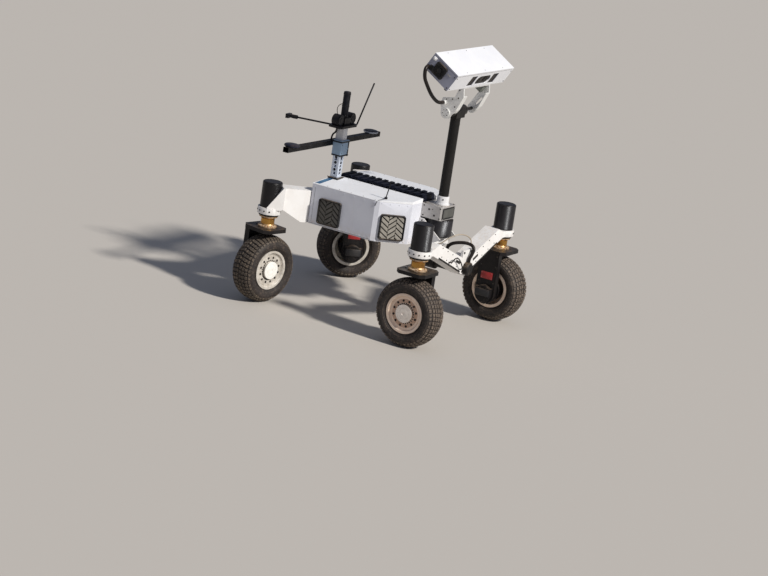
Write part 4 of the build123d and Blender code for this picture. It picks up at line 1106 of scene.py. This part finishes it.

# ANTENNA POST
# A square aluminium tube with rows of holes stands on the roof and carries a black bar with two
# round antennas, a blue grey radio box held by black straps, and a hub with two drums and rods.

# The post's blue tint is a painted reflection of the sky on bare aluminium.
silver_post, tree = blank("silver_post")
grain = noise(tree, 55, 4, 0.6, (1, 1, 0.15))
base = tint(ramp(grain, 0.3, 0.7), (0.76, 0.82, 0.93), (0.64, 0.71, 0.83))
wire(base, ramp(grain, 0.3, 0.7, 0.26, 0.44), grain, 0.00005, 0.3)
dress("antenna_post", silver_post, 0.0008)
dress("antenna_foot", moulded, 0.001)
box_grey = coat("box_grey", (0.34, 0.48, 0.63), (0.28, 0.4, 0.53), 0.1, 0.4)
dress("antenna_box", box_grey, 0.0025, 3)
hub_black = dark_metal("hub_black", (0.0045, 0.0045, 0.0065), (0.01, 0.01, 0.014), 0.1, 0.36, 0)
dress("radio_hub", hub_black, 0.0015)
dress("radio_rods", hub_black)

post = at(-0.298, -0.128, 0)
post_half = 0.0225
box_front = 0.034


def by_post(x, y, z, way=(1, 0, 0)):
    """A seat beside the post, facing this way."""
    return facing(post + Vector((x, y, z)), way)


mesh = bmesh.new()
for z in (0.847, 0.924):
    for side in (-1, 1):
        block(mesh, by_post(0.00575, side * 0.042, z, (0, side, 0)), (0.0566, 0.008, 0.0012), 0.0004)
    block(mesh, by_post(box_front, 0, z), (0.086, 0.008, 0.0012), 0.0004)
for z in (0.86, 0.905):
    block(mesh, by_post(box_front, 0.034, z), (0.01, 0.04, 0.0014), 0.0004)
finished("box_straps", mesh, [moulded])
mesh = bmesh.new()
screw_grid(mesh, by_post(box_front, 0, 0), (-0.03, 0.03), (0.862, 0.908), 0.0024, 0.0012)
screw_grid(mesh, by_post(-0.004, 0, 0.717, (0, 0, 1)), (-0.028, 0.028), (-0.031, 0.031), 0.0032, 0.002)
finished("post_screws", mesh, [dark_screw])

# Dark discs sit between the post's open holes, on all four sides: painted shade standing for more holes.
mesh = bmesh.new()
for height in (0.762, 0.802, 0.8325):
    for x, y in ((1, 0), (-1, 0), (0, 1), (0, -1)):
        seat = by_post(x * post_half, y * post_half, height, (x, y, 0))
        turned(mesh, seat, [(0.0082, 0), (0.008, 0.0006), (0.0072, 0.0008), (0.0064, 0.0002),
                            (0, 0.0002)], 24)
finished("post_hole_shade", mesh, [hub_black])

# A pale sleeve of thin plates wraps the post above the box, with a raised edge at its top and foot.
mesh = bmesh.new()
for z in (0.9345, 0.9965):
    for side in (-1, 1):
        for x, y in ((0, side), (side, 0)):
            seat = by_post(x * post_half, y * post_half, z, (x, y, 0))
            block(mesh, seat, (0.047, 0.006, 0.0012), 0.0004)
for x, y in ((0, -1), (0, 1), (1, 0)):
    seat = by_post(x * post_half, y * post_half, 0.9655, (x, y, 0))
    block(mesh, seat, (0.045, 0.056, 0.001), 0.0003)
finished("post_sleeve", mesh, [collar_pale])

# Bar: two ribs along each side and a cap on each end.
bar_low, bar_high = (Vector(corner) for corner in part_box("antenna_bar"))
bar_black = dark_metal("bar_black", (0.0035, 0.003, 0.0035), (0.008, 0.007, 0.008), 0.1, 0.4, 0)
dress("antenna_bar", bar_black, 0.0012)
mesh = bmesh.new()
bar_middle = (bar_low + bar_high) / 2
bar_length = bar_high.y - bar_low.y
end_thick = 0.0016
half_x = (bar_high.x - bar_low.x) / 2
half_z = (bar_high.z - bar_low.z) / 2
for normal, reach in (((0, 0, 1), half_z), ((0, 0, -1), half_z), ((1, 0, 0), half_x), ((-1, 0, 0), half_x)):
    seat = facing(bar_middle + Vector(normal) * (reach - 0.0002), normal, (0, 1, 0))
    for offset in (-0.0045, 0.0045):
        rib_seat = seat @ Matrix.Translation((offset, 0, 0))
        block(mesh, rib_seat, (0.0014, bar_length - 0.004, 0.0009), 0.0002)
for end, normal in ((bar_low.y, -1), (bar_high.y, 1)):
    seat = facing(Vector((bar_middle.x, end - normal * end_thick, bar_middle.z)), (0, normal, 0))
    block(mesh, seat, (0.0348, 0.0288, end_thick), 0.0004)
finished("bar_ribs", mesh, [bar_black])

puck_dark = dark_metal("puck_dark", (0.006, 0.007, 0.018), (0.012, 0.014, 0.028), 0.12, 0.3, 0)
puck_rim = dark_metal("puck_rim", (0.36, 0.38, 0.42), (0.28, 0.3, 0.34), 0.3, 0.4, 0.3)
puck_low, puck_high = (Vector(corner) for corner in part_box("bar_pucks"))
puck_radius = 0.043
mesh = bmesh.new()
for y, rim_material in ((puck_low.y + puck_radius, 0), (puck_high.y - puck_radius, 1)):
    seat = Matrix.Translation((puck_low.x + puck_radius, y, puck_low.z))
    turned(mesh, seat, [(0, 0), (0.04, 0), (0.0425, 0.002), (0.0427, 0.009),
                        (0.0412, 0.0104)], 64, rim_material)
    turned(mesh, seat, [(0.0412, 0.0104), (0.0385, 0.013), (0.03, 0.015), (0.015, 0.0158),
                        (0, 0.016)], 64)
pucks = finished("round_antennas", mesh, [puck_dark, puck_rim])
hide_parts("bar_pucks")

# Hub: ringed covers on both faces of each drum, and bands round the tube.
mesh = bmesh.new()
drum_height = 1.049
for y in (-0.062, 0.062):
    for side in (-1, 1):
        seat = by_post(side * 0.021, y, drum_height, (side, 0, 0))
        turned(mesh, seat, [(0.03, 0), (0.03, 0.002), (0.027, 0.0028), (0.023, 0.0012),
                            (0.014, 0.0012), (0.013, 0.0026), (0, 0.003)], 40)
for z, radius in ((1.062, 0.0225), (1.12, 0.0212), (1.188, 0.0212)):
    band = Matrix.Translation(post + Vector((0, 0, z)))
    turned(mesh, band, [(0.0198, 0), (radius, 0.001), (radius, 0.007), (0.0198, 0.008)], 40)
finished("hub_covers", mesh, [hub_black])

# STUDIO
# A plain pale floor, a warm key light from the side the photograph's sun came from under a weak
# blue sky, and the photograph's long lens.
azimuth = radians(29.13)
elevation = radians(14.5)
roll = radians(8.6)
camera_distance = 14.5
camera_aim = Vector((0.0141, 0.054, 0.1234))

look_back = Vector((sin(azimuth) * cos(elevation), -cos(azimuth) * cos(elevation), sin(elevation)))
level_right = Vector((cos(azimuth), sin(azimuth), 0))
level_up = look_back.cross(level_right)
camera_right = level_right * cos(roll) + level_up * sin(roll)
camera_up = level_up * cos(roll) - level_right * sin(roll)

lens = bpy.data.cameras.new("camera")
lens.lens = 120.2
lens.sensor_width = 36
lens.clip_end = 100
camera = placed("camera", lens)
turn = Matrix((camera_right, camera_up, look_back)).transposed().to_4x4()
camera.matrix_world = Matrix.Translation(camera_aim + look_back * camera_distance) @ turn
bpy.context.scene.camera = camera

pale, tree = blank("floor_pale")
sockets = tree.nodes["Principled BSDF"].inputs
feed(sockets["Base Color"], (0.56, 0.525, 0.48))
feed(sockets["Roughness"], 0.9)
mesh = bmesh.new()
bmesh.ops.create_grid(mesh, x_segments=1, y_segments=1, size=30)
floor = placed("floor", mesh_data("floor", mesh))
floor.data.materials.append(pale)

sun = bpy.data.lights.new("key", "SUN")
sun.energy = 3.75
sun.angle = radians(5)
sun.color = (1, 0.96, 0.9)
key = placed("key", sun)
key.rotation_euler = Vector((0.785, -0.075, 0.615)).to_track_quat("Z", "Y").to_euler()

world = bpy.data.worlds.new("world")
bpy.context.scene.world = world
world.use_nodes = True
sky = world.node_tree.nodes["Background"]
sky.inputs["Color"].default_value = (0.68, 0.77, 1, 1)
sky.inputs["Strength"].default_value = 0.235

# A narrow upright panel light, out of the picture, draws the bright streaks on the black cans alone.
panel = bpy.data.lights.new("panel", "AREA")
panel.shape = "RECTANGLE"
panel.size = 0.26
panel.size_y = 0.9
panel.energy = 10
panel.spread = radians(60)
strip_light = bpy.data.objects.new("panel", panel)
strip_light.rotation_euler = Vector((1.81, -0.45, 0)).to_track_quat("Z", "Y").to_euler()
strip_light.location = (2.3, -0.45, 0.5)
strip_light.visible_camera = False
bpy.context.scene.collection.objects.link(strip_light)
cans = bpy.data.collections.new("lit_by_panel")
for name in ("steer_motors", "mast_motor"):
    cans.objects.link(nodes[name])
strip_light.light_linking.receiver_collection = cans

bpy.context.scene.view_settings.view_transform = "Standard"
